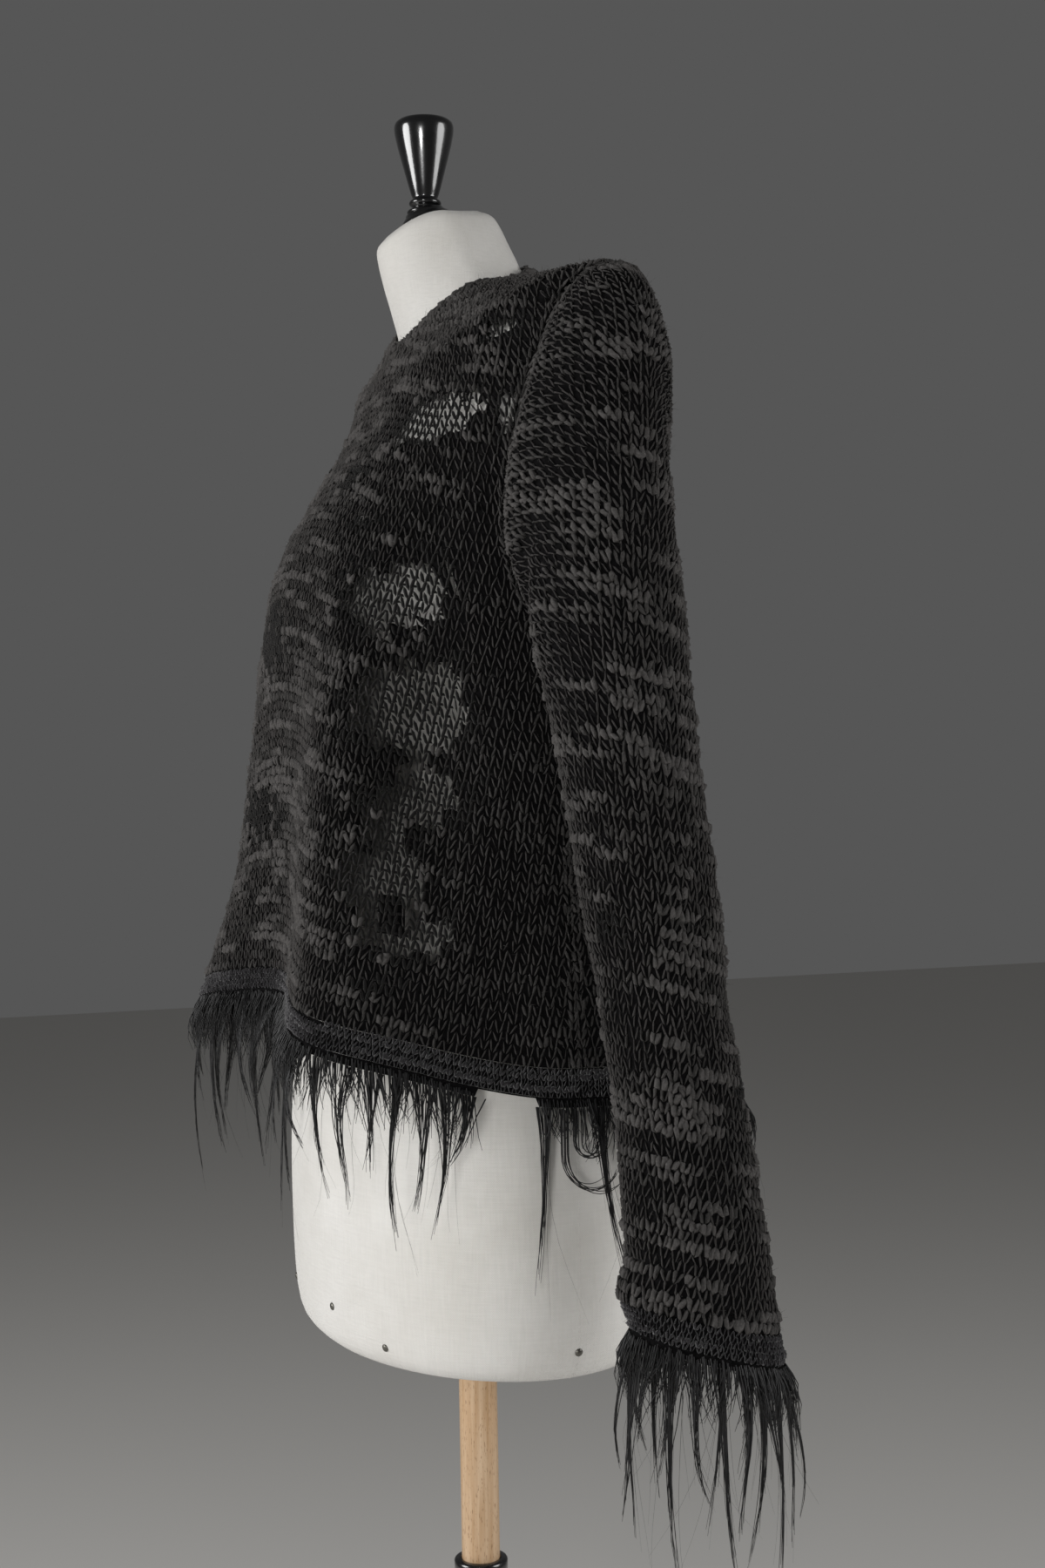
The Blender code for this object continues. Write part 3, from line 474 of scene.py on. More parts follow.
# Lengthwise seams: short thread stitches along each seam line. Each rises out of the canvas in
# its middle and dips into it at both ends.
SEAM_LEVELS = (0.6, 20.6)
STITCH_SPACING = 0.0044
STITCH_LENGTH = 0.0030
THREAD_RADIUS = 0.00026
STITCH_RISE = ((0.0, -0.0001), (0.5, 0.00022), (1.0, -0.0001))
points, edges, radii = [], [], []
for angle in SEAM_ANGLES:
    fine = np.linspace(*SEAM_LEVELS, 900)
    lengths = distances(form_points(fine, np.full(len(fine), angle)))
    starts = np.arange(0.0, lengths[-1] - 0.004, STITCH_SPACING)
    for share, lift in STITCH_RISE:
        at = np.interp(starts + STITCH_LENGTH * share, lengths, fine)
        turn = np.full(len(at), angle)
        points.append(form_points(at, turn) + form_normals(at, turn) * lift)
    count = len(starts)
    first = sum(len(p) for p in points[:-3])
    edges += [(first + i, first + count + i) for i in range(count)]
    edges += [(first + count + i, first + 2 * count + i) for i in range(count)]
    radii.append(np.full(3 * count, THREAD_RADIUS))
seams = grow(
    sites_object("seam_lines", np.vstack(points), edges, hair=np.concatenate(radii)), strand_tree,
    {"Sides": 3, "Finish": canvas}, "form_seam_thread",
)
put_on(seams, "canvas")

# Steel upholstery tacks that hold the canvas under the rim: domed heads, dulled by handling.
steel, tree, shader = start_material("dull_steel_tack", Base_Color=linear("6b6963"), Metallic=1.0)
place = add(tree, "ShaderNodeTexCoord")
wear = add(tree, "ShaderNodeTexNoise", {"Vector": place.outputs["Object"], "Scale": 700.0, "Detail": 3.0})
rub = add(tree, "ShaderNodeMapRange", {"Value": wear, "To Min": 0.28, "To Max": 0.5})
tree.links.new(rub.outputs[0], shader.inputs["Roughness"])

tack_tree, given = start_tree(
    "tacks_on_rim", "Tacks", Places="Geometry", Head_radius="Float", Finish="Material"
)
head = add(
    tack_tree, "GeometryNodeMeshUVSphere",
    {"Segments": 14, "Rings": 8, "Radius": given.outputs["Head_radius"]},
)
away = add(tack_tree, "GeometryNodeInputNamedAttribute", {"Name": "away"}, data_type="FLOAT_VECTOR")
turned_to = add(tack_tree, "FunctionNodeAlignRotationToVector", {"Vector": away}, axis="Z")
placed = add(
    tack_tree, "GeometryNodeInstanceOnPoints",
    {"Points": given.outputs["Places"], "Instance": head, "Rotation": turned_to,
     "Scale": (1.0, 1.0, 0.45)},
)
end_tree(tack_tree, placed, given.outputs["Finish"])
tack_angles, tack_levels = np.array(TACKS).T
places = sites_object(
    "tack_places", form_points(tack_levels, tack_angles), away=form_normals(tack_levels, tack_angles)
)
tacks = grow(places, tack_tree, {"Head_radius": TACK_RADIUS, "Finish": steel}, "rim_tacks")
put_on(tacks, "black_lacquer")


# Finial. A turned hardwood knob, sprayed gloss black like the base, screwed to the slanting neck
# cap through a turned washer.

FINIAL_Y = -0.0235
FINIAL_PROFILE = (
    (0.0, 1.5460), (0.0100, 1.5459), (0.0150, 1.5454), (0.0180, 1.5445), (0.0198, 1.5430),
    (0.0205, 1.5408), (0.0205, 1.5385), (0.0201, 1.5350), (0.0186, 1.5280), (0.0163, 1.5190),
    (0.0136, 1.5090), (0.0112, 1.5000), (0.0096, 1.4945), (0.0088, 1.4925), (0.0085, 1.4912),
    (0.0092, 1.4902), (0.0106, 1.4896), (0.0111, 1.4886), (0.0111, 1.4877), (0.0104, 1.4868),
    (0.0092, 1.4861), (0.0089, 1.4850), (0.0098, 1.4840), (0.0118, 1.4832), (0.0126, 1.4822),
    (0.0124, 1.4812), (0.0112, 1.4803), (0.0096, 1.4797), (0.0, 1.4797),
)
knob = turned_piece(
    "finial_knob", FINIAL_PROFILE, enamel, centre=(0.0, FINIAL_Y), sides=72, smooth_angle=50.0
)
put_on(knob, "black_lacquer", "finial")

# The washer lies flat on the cap, so it is turned upright and then tilted with the cap.
CAP_TILT = math.radians(16.8)
CAP_MIDDLE = np.array((0.0, -0.0220, 1.4746))
WASHER_PROFILE = (
    (0.0, 0.0092), (0.0122, 0.0092), (0.0130, 0.0086), (0.0135, 0.0074), (0.0148, 0.0060),
    (0.0163, 0.0048), (0.0169, 0.0034), (0.0169, 0.0020), (0.0165, 0.0011), (0.0, 0.0010),
)
washer = turned_piece("finial_washer", WASHER_PROFILE, enamel, sides=72, smooth_angle=50.0)
for corner in washer.data.vertices:
    x, y, z = corner.co
    corner.co = (
        CAP_MIDDLE[0] + x,
        CAP_MIDDLE[1] + y * math.cos(CAP_TILT) - z * math.sin(CAP_TILT),
        CAP_MIDDLE[2] + y * math.sin(CAP_TILT) + z * math.cos(CAP_TILT),
    )
put_on(washer, "black_lacquer")


# Front and back of the pullover. Each is one flat-knitted panel of open stockinette in fuzzy slub
# yarn, seamed at the sides and shoulders. Thin stretches of the yarn let the form show through.

BODY_SECTIONS = np.array((
    (0.1930, 0.005, 0.8960, -0.1480, 0.9525, 0.1480, 0.8700, 0.10),
    (0.1880, 0.005, 0.9560, -0.1430, 1.0000, 0.1420, 0.9330, 0.08),
    (0.1800, 0.006, 1.0380, -0.1380, 1.0650, 0.1350, 1.0220, 0.06),
    (0.1730, 0.008, 1.1190, -0.1350, 1.1350, 0.1280, 1.1090, 0.03),
    (0.1680, 0.012, 1.1800, -0.1330, 1.2000, 0.1230, 1.1850, 0.02),
    (0.1690, 0.018, 1.2400, -0.1230, 1.2450, 0.1210, 1.2500, 0.01),
    (0.1740, 0.025, 1.3000, -0.0990, 1.2850, 0.1210, 1.3080, 0.00),
    (0.1820, 0.031, 1.3550, -0.0750, 1.3200, 0.1180, 1.3530, 0.00),
    (0.1880, 0.036, 1.3900, -0.0640, 1.3420, 0.1100, 1.3800, 0.00),
    (0.1900, 0.037, 1.4070, -0.0590, 1.3550, 0.1010, 1.3960, 0.00),
    (0.1560, 0.033, 1.4120, -0.0545, 1.3660, 0.0870, 1.4080, 0.00),
    (0.1220, 0.026, 1.4160, -0.0510, 1.3755, 0.0730, 1.4200, 0.00),
    (0.0920, 0.015, 1.4200, -0.0472, 1.3840, 0.0585, 1.4320, 0.00),
    (0.0648, 0.001, 1.4228, -0.0438, 1.3915, 0.0450, 1.4465, 0.00),
))
UNDERARM = 4
SHOULDER = 9
NECK = len(BODY_SECTIONS) - 1
ARMHOLE_FRONT = 22.0
ARMHOLE_BACK = 30.0
# Vertical folds: angle, spread, heights where the fold starts and is full, how far it stands out
# where it is full and at the hem.
HEM_Z = 0.90
BODY_FOLDS = (
    (54.0, 13.0, 1.290, 1.080, 0.0270, 0.0320),
    (122.0, 17.0, 1.270, 1.060, 0.0140, 0.0380),
    (86.0, 15.0, 1.200, 1.000, -0.0080, -0.0150),
    (20.0, 11.0, 1.220, 1.040, -0.0040, -0.0060),
    (160.0, 11.0, 1.220, 1.040, -0.0030, -0.0060),
    (232.0, 13.0, 1.240, 1.040, 0.0080, 0.0140),
    (304.0, 14.0, 1.250, 1.050, 0.0090, 0.0150),
    (268.0, 14.0, 1.230, 1.020, -0.0040, -0.0070),
    (338.0, 9.0, 1.120, 0.980, 0.0030, 0.0060),
)
# Smaller soft creases: angle, height, spread round, spread up, lean in degrees per metre, depth.
BODY_CREASES = (
    (35.0, 1.090, 10.0, 0.100, 0.0, -0.0100),
    (36.0, 1.275, 7.0, 0.050, -160.0, -0.0022),
    (46.0, 1.235, 5.0, 0.040, -120.0, 0.0016),
    (30.0, 1.120, 8.0, 0.030, 90.0, -0.0018),
    (66.0, 1.180, 7.0, 0.022, 60.0, -0.0014),
    (72.0, 1.040, 9.0, 0.016, 0.0, 0.0014),
    (40.0, 0.990, 8.0, 0.020, 110.0, 0.0016),
    (104.0, 1.110, 8.0, 0.022, -70.0, -0.0014),
    (140.0, 1.230, 8.0, 0.040, 150.0, -0.0020),
    (150.0, 1.060, 9.0, 0.024, -60.0, 0.0016),
    (214.0, 1.280, 8.0, 0.035, 140.0, -0.0020),
    (246.0, 1.130, 9.0, 0.024, 60.0, 0.0018),
    (284.0, 1.180, 9.0, 0.028, -80.0, -0.0018),
    (318.0, 1.260, 8.0, 0.040, -140.0, -0.0022),
    (296.0, 1.010, 9.0, 0.018, 40.0, 0.0014),
    (226.0, 0.970, 8.0, 0.020, -50.0, -0.0014),
)
BAND_HEIGHT = 0.017
SEAM_GAP = 0.0004
WALE = 0.0070                          # width of one column of stitches
COURSE = 0.0062                        # height of one row
YARN_DEPTH = 0.0026                    # how proud the thickest loops stand
CLOTH_IN = 0.0011                      # the ground lies this far inside the outer skin
CLOTH_THICK = 0.0009


def smooth_rise(value):
    share = np.clip(value, 0.0, 1.0)
    return share * share * (3.0 - 2.0 * share)


def wrapped(degrees):
    """The same turn, brought between -180 and 180 degrees."""
    return (degrees + 180.0) % 360.0 - 180.0


def pair_up(level, angle):
    """Levels and angles as two arrays of one length."""
    return np.broadcast_arrays(np.asarray(level, float), np.asarray(angle, float))


def body_points(level, angle):
    level, angle = pair_up(level, angle)
    point = section_points(BODY_SECTIONS, level, angle)
    height = point[:, 2]
    swell = np.zeros(len(point))
    for place, spread, top_z, full_z, at_full, at_hem in BODY_FOLDS:
        away = wrapped(angle - place)
        rise = smooth_rise((top_z - height) / (top_z - full_z))
        lower = smooth_rise((full_z - height) / (full_z - HEM_Z))
        swell += (rise * at_full + lower * (at_hem - at_full)) * np.exp(-((away / spread) ** 2))
    for place, mid_z, spread, reach, lean, depth in BODY_CREASES:
        away = wrapped(angle - place - lean * (height - mid_z))
        swell += depth * np.exp(-((away / spread) ** 2) - ((height - mid_z) / reach) ** 2)
    outward = unit(point * (1.0, 1.0, 0.0))
    return point + outward * swell[:, None]


def body_normals(level, angle):
    level, angle = pair_up(level, angle)
    middle = between_rows(BODY_SECTIONS, level)
    inside = np.stack([np.zeros(len(level)), middle[:, 1], middle[:, 2] - 0.06], 1)
    return outward_normals(body_points, level, angle, inside, NECK)


def height_step(level, height):
    """How many levels a height in metres takes up, just above the given one, at the left front."""
    pair = body_points([level, level + 0.1], [30.0, 30.0])
    return height / (np.linalg.norm(pair[1] - pair[0]) / 0.1)


BAND_LEVEL = height_step(0.0, BAND_HEIGHT)
PANEL_LEVEL = BAND_LEVEL + height_step(BAND_LEVEL, SEAM_GAP)


def armhole_open(level, reach):
    """The armhole's half opening at each row, in degrees."""
    along = (level - (UNDERARM + SHOULDER) / 2.0) / ((SHOULDER - UNDERARM) / 2.0)
    return reach * np.sqrt(np.clip(1.0 - along * along, 0.0, 1.0))


# Fuzzy slub yarn, a charcoal wool and mohair spin: a warm dark grey where it is thick and brushed,
# darker between, and nearly black on the thin strands of the open net, as painted shade. It is
# wholly matt, with short fibres lying over the twist.
slub_yarn, tree, shader = start_material(
    "charcoal_slub_wool", Roughness=0.96, Sheen_Weight=0.24, Sheen_Roughness=0.5
)
shader.inputs["Specular IOR Level"].default_value = 0.15
shader.inputs["Sheen Tint"].default_value = linear("a09c99")
place = add(tree, "ShaderNodeTexCoord")
thick = add(tree, "ShaderNodeAttribute", attribute_name="slub")
strands = add(
    tree, "ShaderNodeTexNoise",
    {"Vector": place.outputs["Object"], "Scale": 760.0, "Detail": 5.0, "Roughness": 0.75, "Distortion": 0.6},
)
cloudy = add(tree, "ShaderNodeTexNoise", {"Vector": place.outputs["Object"], "Scale": 45.0, "Detail": 3.0})
mixed = add(
    tree, "ShaderNodeMath",
    {0: cloudy, 1: 0.45, 2: thick.outputs["Fac"]}, operation="MULTIPLY_ADD",
)
shade = add(tree, "ShaderNodeMapRange", {"Value": mixed, "From Min": 0.12, "From Max": 1.15})
tone = add(tree, "ShaderNodeValToRGB", {"Fac": shade})
tone.color_ramp.elements[0].color = linear("121212")
tone.color_ramp.elements[1].color = linear("464443")
for position, colour in ((0.08, "383635"), (0.45, "2d2c2b")):
    tone.color_ramp.elements.new(position).color = linear(colour)
fibre = add(
    tree, "ShaderNodeMapRange",
    {"Value": strands, "From Min": 0.32, "From Max": 0.68, "To Min": 0.5, "To Max": 1.4},
)
spun = add(
    tree, "ShaderNodeMix",
    {0: 1.0, 6: tone, 7: fibre}, data_type="RGBA", blend_type="MULTIPLY",
)
relief = add(tree, "ShaderNodeBump", {"Height": strands, "Strength": 0.8, "Distance": 0.0008})
tree.links.new(spun.outputs[2], shader.inputs["Base Color"])
tree.links.new(relief.outputs[0], shader.inputs["Normal"])


def mottle(tree, shader, noise, dark, light, relief=()):
    """Two tones of fibre over a fine noise, and the fibres' relief where one is given.

    noise is its scale and detail, dark and light are each a place on the ramp and a colour, and
    relief is a strength and a distance.
    """
    place = add(tree, "ShaderNodeTexCoord")
    fibres = add(
        tree, "ShaderNodeTexNoise",
        {"Vector": place.outputs["Object"], "Scale": noise[0], "Detail": noise[1]},
    )
    tone = add(tree, "ShaderNodeValToRGB", {"Fac": fibres})
    for stop, (position, colour) in zip(tone.color_ramp.elements, (dark, light)):
        stop.position = position
        stop.color = linear(colour)
    tree.links.new(tone.outputs[0], shader.inputs["Base Color"])
    if relief:
        bump = add(
            tree, "ShaderNodeBump",
            {"Height": fibres, "Strength": relief[0], "Distance": relief[1]},
        )
        tree.links.new(bump.outputs[0], shader.inputs["Normal"])


# The ground behind the loops: a dark sheet for the same yarn seen in the shade between the stitches, painted
# shade, almost black.
painted_shade_yarn, tree, shader = start_material("shaded_slub_ground", Roughness=1.0)
shader.inputs["Specular IOR Level"].default_value = 0.05
mottle(tree, shader, (420.0, 3.0), (0.3, "060606"), (0.75, "121112"), (0.6, 0.0008))


def spindle(path, half_width, proud):
    """One strand of a loop: a closed three-sided spindle along four points, in units of one stitch."""
    path = np.asarray(path, float)
    points, faces = [tuple(path[0])], []
    for middle in (1, 2):
        way = path[middle + 1] - path[middle - 1]
        across = np.array((way[1], -way[0], 0.0)) / np.hypot(way[0], way[1]) * half_width
        points.append(tuple(path[middle] - across))
        points.append(tuple(path[middle] + across))
        points.append(tuple(path[middle] + (0.0, 0.0, proud)))
    points.append(tuple(path[3]))
    for side in range(3):
        after = (side + 1) % 3
        faces.append((0, 1 + after, 1 + side))
        faces.append((1 + side, 1 + after, 4 + after, 4 + side))
        faces.append((7, 4 + side, 4 + after))
    return points, faces


# The kinds of stitch, first that of the open net, then from thin yarn to a full slub: half width
# of a leg, how proud it stands, and whether a strand joins it to the next stitch.
LOOP_KINDS = (
    (0.156, 0.42, True),
    (0.078, 0.32, False),
    (0.118, 0.40, False),
    (0.176, 0.54, False),
    (0.255, 0.70, False),
)
# The way of a stitch's right leg, and of the strand to the next stitch, in units of one stitch.
LEG_PATH = ((0.04, -0.74, -0.25), (0.17, -0.36, 0.0), (0.31, 0.26, 0.05), (0.44, 0.68, -0.25))
JOIN_PATH = ((0.22, 0.48, -0.1), (0.40, 0.62, -0.05), (0.60, 0.62, -0.05), (0.78, 0.48, -0.1))
JOIN_HALF_WIDTH = 0.14
JOIN_PROUD = 0.3
loops = bpy.data.collections.new("stitch_kinds")
for number, (half_width, proud, joined) in enumerate(LOOP_KINDS):
    parts = [spindle(np.array(LEG_PATH) * (side, 1.0, 1.0), half_width, proud) for side in (-1.0, 1.0)]
    if joined:
        parts.append(spindle(JOIN_PATH, JOIN_HALF_WIDTH, JOIN_PROUD))
    points, faces = [], []
    for part_points, part_faces in parts:
        faces += [tuple(i + len(points) for i in face) for face in part_faces]
        points += part_points
    mesh = bpy.data.meshes.new(f"stitch_{number}")
    mesh.from_pydata(points, [], faces)
    mesh.update()
    made = bpy.data.objects.new(f"stitch_{number}", mesh)
    loops.objects.link(made)

# Sets a stitch of the kind that each place names, turned along its row and out of the cloth.
loop_tree, given = start_tree(
    "knitted_loops", "Loops", Sites="Geometry", Kinds="Collection", Fullness="Float", Yarn="Material"
)
kinds = add(
    loop_tree, "GeometryNodeCollectionInfo",
    {"Collection": given.outputs["Kinds"], "Separate Children": True, "Reset Children": True},
)
out_way = add(loop_tree, "GeometryNodeInputNamedAttribute", {"Name": "out_way"}, data_type="FLOAT_VECTOR")
row_way = add(loop_tree, "GeometryNodeInputNamedAttribute", {"Name": "row_way"}, data_type="FLOAT_VECTOR")
pitch = add(loop_tree, "GeometryNodeInputNamedAttribute", {"Name": "pitch"}, data_type="FLOAT_VECTOR")
kind_of = add(loop_tree, "GeometryNodeInputNamedAttribute", {"Name": "kind"}, data_type="INT")
lie = add(
    loop_tree, "FunctionNodeAxesToRotation",
    {0: out_way, 1: row_way}, primary_axis="Z", secondary_axis="X",
)
full = add(
    loop_tree, "ShaderNodeVectorMath",
    {0: pitch, "Scale": given.outputs["Fullness"]}, operation="SCALE",
)
placed = add(
    loop_tree, "GeometryNodeInstanceOnPoints",
    {"Points": given.outputs["Sites"], "Instance": kinds, "Pick Instance": True,
     "Instance Index": kind_of, "Rotation": lie, "Scale": full},
)
end_tree(loop_tree, placed, given.outputs["Yarn"])


class Knit:
    """A flat-knitted piece laid on a surface function of (level, angle)."""

    def __init__(self, points, normals, bottom, top, middle, half_range, allowed, whole_round=False):
        self.points, self.normals = points, normals
        self.bottom, self.top = bottom, top
        self.middle, self.half_range = middle, half_range
        self.allowed = allowed
        self.whole_round = whole_round
        # A fine net of samples, to measure along the rows and up the columns.
        count = 121
        self.angles = middle + np.linspace(-half_range, half_range, count)
        self.levels = np.linspace(bottom, top, 261)
        level, angle = (a.ravel() for a in np.meshgrid(self.levels, self.angles, indexing="ij"))
        self.grid = points(level, angle).reshape(len(self.levels), count, 3)
        steps = np.linalg.norm(np.diff(self.grid, axis=0), axis=2)
        self.heights = np.vstack([np.zeros(count), np.cumsum(steps, axis=0)])

    def row(self, height):
        """Levels along one row of stitches, NaN where the piece ends below it."""
        levels = np.full(len(self.angles), np.nan)
        for column in range(len(self.angles)):
            if height < self.heights[-1, column]:
                levels[column] = np.interp(height, self.heights[:, column], self.levels)
        return levels

    def sites(self, wale, course):
        """Level, angle, row number and distance along the row of every stitch."""
        found = []
        rows = int(self.heights[-1].max() / course)
        for number in range(rows):
            levels = self.row((number + 0.5) * course)
            good = ~np.isnan(levels)
            if good.sum() < 4:
                continue
            filled = np.where(good, levels, self.top)
            line = self.points(filled, self.angles)
            along = distances(line)
            along -= along[len(along) // 2]
            first, last = math.ceil(along[0] / wale), math.floor(along[-1] / wale)
            at = (np.arange(first, last) + 0.5) * wale
            if self.whole_round:
                round_count = round((along[-1] - along[0]) / wale)
                at = along[0] + (np.arange(round_count) + 0.5) * (along[-1] - along[0]) / round_count
            angle = np.interp(at, along, self.angles)
            level = np.interp(at, along, filled)
            real = np.interp(at, along, good.astype(float)) > 0.99
            keep = real & self.allowed(level, angle)
            found.append(np.stack([level[keep], angle[keep], np.full(keep.sum(), number), at[keep]], 1))
        return np.vstack(found)


SLUB_STEP = 0.024                      # metres of a row between two thicknesses of its yarn


def slub_field(sites, seed):
    """How thick the yarn runs at each stitch, 0 to 1: long uneven slubs along single rows."""
    # Seven rows in ten keep a third of the row before, so that some slubs lie over several rows.
    random = np.random.RandomState(seed)
    rows = int(sites[:, 2].max()) + 1
    knots = np.arange(-0.5, 0.5, SLUB_STEP)
    value = np.zeros(len(sites))
    before = random.rand(len(knots))
    for number in range(rows):
        fresh = random.rand(len(knots))
        held = 0.34 if random.rand() < 0.7 else 0.1
        line = before * held + fresh * (1.0 - held)
        line = line * (0.84 + 0.32 * random.rand())
        before = np.roll(line, random.randint(-1, 2))
        here = sites[:, 2] == number
        value[here] = np.interp(sites[here, 3] + 0.013 * random.rand(), knots, line)
    return np.clip(smooth_rise((value - 0.27) / 0.60) + random.normal(0.0, 0.10, len(sites)), 0.0, 1.0)


def openness(position, angle, patches, seed):
    """Where the yarn is so thin that the cloth is open, 1 in the middle of a patch."""
    random = np.random.RandomState(seed)
    most = np.zeros(len(position))
    for place, height, spread, reach, strength in patches:
        away = wrapped(angle - place)
        value = strength * np.exp(-((away / spread) ** 2) - ((position[:, 2] - height) / reach) ** 2)
        most = np.maximum(most, value)
    height = position[:, 2]
    waves = (
        np.sin(1.15 * angle + 1.6 * np.sin(height * 190.0))
        * np.sin(height * 430.0 + 2.0 * np.sin(angle * 0.31))
    )
    waves += 0.7 * np.sin(2.1 * angle - height * 270.0) * np.sin(height * 620.0 + 0.8 * angle)
    return most + (0.27 * waves + random.normal(0.0, 0.10, len(position))) * (most > 0.12)


# Open patches on each piece: angle, height, spread round in degrees, spread up, strength.
BODY_PATCHES = (
    (52.0, 1.321, 20.0, 0.017, 1.05),
    (37.0, 1.372, 11.0, 0.007, 0.90),
    (25.0, 1.321, 5.0, 0.020, 0.80),
    (17.0, 1.389, 5.0, 0.007, 0.85),
    (75.0, 1.291, 7.0, 0.012, 0.80),
    (59.0, 1.256, 8.0, 0.005, 0.85),
    (43.0, 1.205, 16.0, 0.024, 1.05),
    (38.0, 1.135, 15.0, 0.034, 1.10),
    (36.0, 1.078, 13.0, 0.020, 1.05),
    (43.0, 1.033, 9.0, 0.025, 1.05),
    (37.0, 0.995, 11.0, 0.014, 1.05),
    (43.0, 0.968, 4.0, 0.008, 0.85),
    (96.0, 1.190, 14.0, 0.022, 0.95),
    (104.0, 1.070, 12.0, 0.018, 0.85),
    (133.0, 1.110, 15.0, 0.038, 1.00),
    (142.0, 1.300, 13.0, 0.014, 0.90),
    (150.0, 1.010, 10.0, 0.016, 0.90),
    (216.0, 1.290, 12.0, 0.014, 0.85),
    (226.0, 1.100, 14.0, 0.034, 1.00),
    (262.0, 1.200, 12.0, 0.020, 0.90),
    (270.0, 1.030, 12.0, 0.018, 0.85),
    (308.0, 1.240, 12.0, 0.028, 0.95),
    (322.0, 1.060, 10.0, 0.022, 0.90),
)
OPEN_FROM = 0.52                       # openness from which the ground is left out
NET_FROM = OPEN_FROM - 0.12            # and from which the stitches are the thin ones of the net
THIN_FROM = 0.35                       # and from which the slubs run thin
NET_PAINTED_SHADE = -0.30                      # painted shade: the net's yarn is made darker than all other
KIND_STEPS = (0.22, 0.48, 0.74)        # slub values at which the next thicker kind begins
SITE_DEPTH = 0.0007                    # stitches are rooted this far inside the outer skin
SLUB_LIFT = 0.0004                     # and the thickest stand this much prouder
FIBRE_WIDTH = 0.00020                  # of the loose fibres on the stitches
FIBRE_PAINTED_SHEEN = 0.9                      # their slub value, as light as thick yarn: a painted sheen on the loose fibres

fuzz_spike = bpy.data.collections.new("fuzz_fibre")
mesh = bpy.data.meshes.new("fibre")
mesh.from_pydata(
    [(0.5, 0.0, 0.0), (-0.25, 0.43, 0.0), (-0.25, -0.43, 0.0), (0.0, 0.0, 1.0)], [],
    [(0, 2, 1), (0, 1, 3), (1, 2, 3), (2, 0, 3)],
)
fuzz_spike.objects.link(bpy.data.objects.new("fibre", mesh))


def chain_sites(knit, line, spacing):
    """Places along an edge, given as levels and angles, for one chain of linking stitches."""
    level, angle = line
    path = knit.points(level, angle)
    along = distances(path)
    at = (np.arange(int(along[-1] / spacing)) + 0.5) * spacing
    level, angle = np.interp(at, along, level), np.interp(at, along, angle)
    position = knit.points(level, angle)
    normal = knit.normals(level, angle)
    return position, normal, unit(np.cross(np.gradient(position, axis=0), normal))


def roughen(piece, amount, seed):
    """Moves every corner of the loops a little, more where the yarn is thick, so none is alike."""
    count = len(piece.data.vertices)
    place, thick = np.empty(count * 3), np.empty(count)
    piece.data.vertices.foreach_get("co", place)
    piece.data.attributes["slub"].data.foreach_get("value", thick)
    move = np.random.RandomState(seed).normal(0.0, 1.0, (count, 3)) * (amount * (0.35 + thick))[:, None]
    piece.data.vertices.foreach_set("co", place + move.ravel())
    piece.data.update()


def even(angle):
    """The same share of slubs all round."""
    return np.ones(len(angle))


def fewer_slubs_as_side_shade(angle):
    """The share of slubs left round the body: fewer on the sides, so that the yarn there runs thinner and
    darker, a painted shade under the arms.
    """
    return 0.45 + 0.55 * smooth_rise((np.abs((angle + 90.0) % 180.0 - 90.0) - 24.0) / 14.0)


def fuzz_piece(name, position, normal, row_way, slub, wale, amount, yarn, random):
    """Short loose fibres that stand off the stitches, more of them where the yarn is thick."""
    fibres = random.poisson(amount * (0.45 + 1.3 * slub))
    chosen = np.repeat(np.arange(len(slub)), fibres)
    position, normal, row_way = position[chosen], normal[chosen], row_way[chosen]
    loose = unit(normal * 0.55 + random.normal(0.0, 0.62, (len(chosen), 3)))
    rise = np.sum(loose * normal, axis=1)
    flat = rise < 0.05
    loose[flat] += normal[flat] * (0.35 - rise[flat])[:, None]
    length = (0.0022 + 0.0058 * random.rand(len(chosen)) ** 2.2) * wale / WALE
    width = np.full(len(chosen), FIBRE_WIDTH)
    root = position + random.normal(0.0, wale * 0.22, (len(chosen), 3))
    root -= normal * np.sum((root - position) * normal, axis=1)[:, None]
    # The fibres take a light tone of the yarn, a painted sheen.
    source = sites_object(
        name + "_sites", root, out_way=unit(loose), row_way=row_way,
        pitch=np.stack([width, width, length], 1), kind=np.zeros(len(chosen), np.int32),
        slub=np.full(len(chosen), FIBRE_PAINTED_SHEEN),
    )
    inputs = {"Kinds": fuzz_spike, "Fullness": 1.0, "Yarn": yarn}
    return grow(source, loop_tree, inputs, name, keep=("slub",))


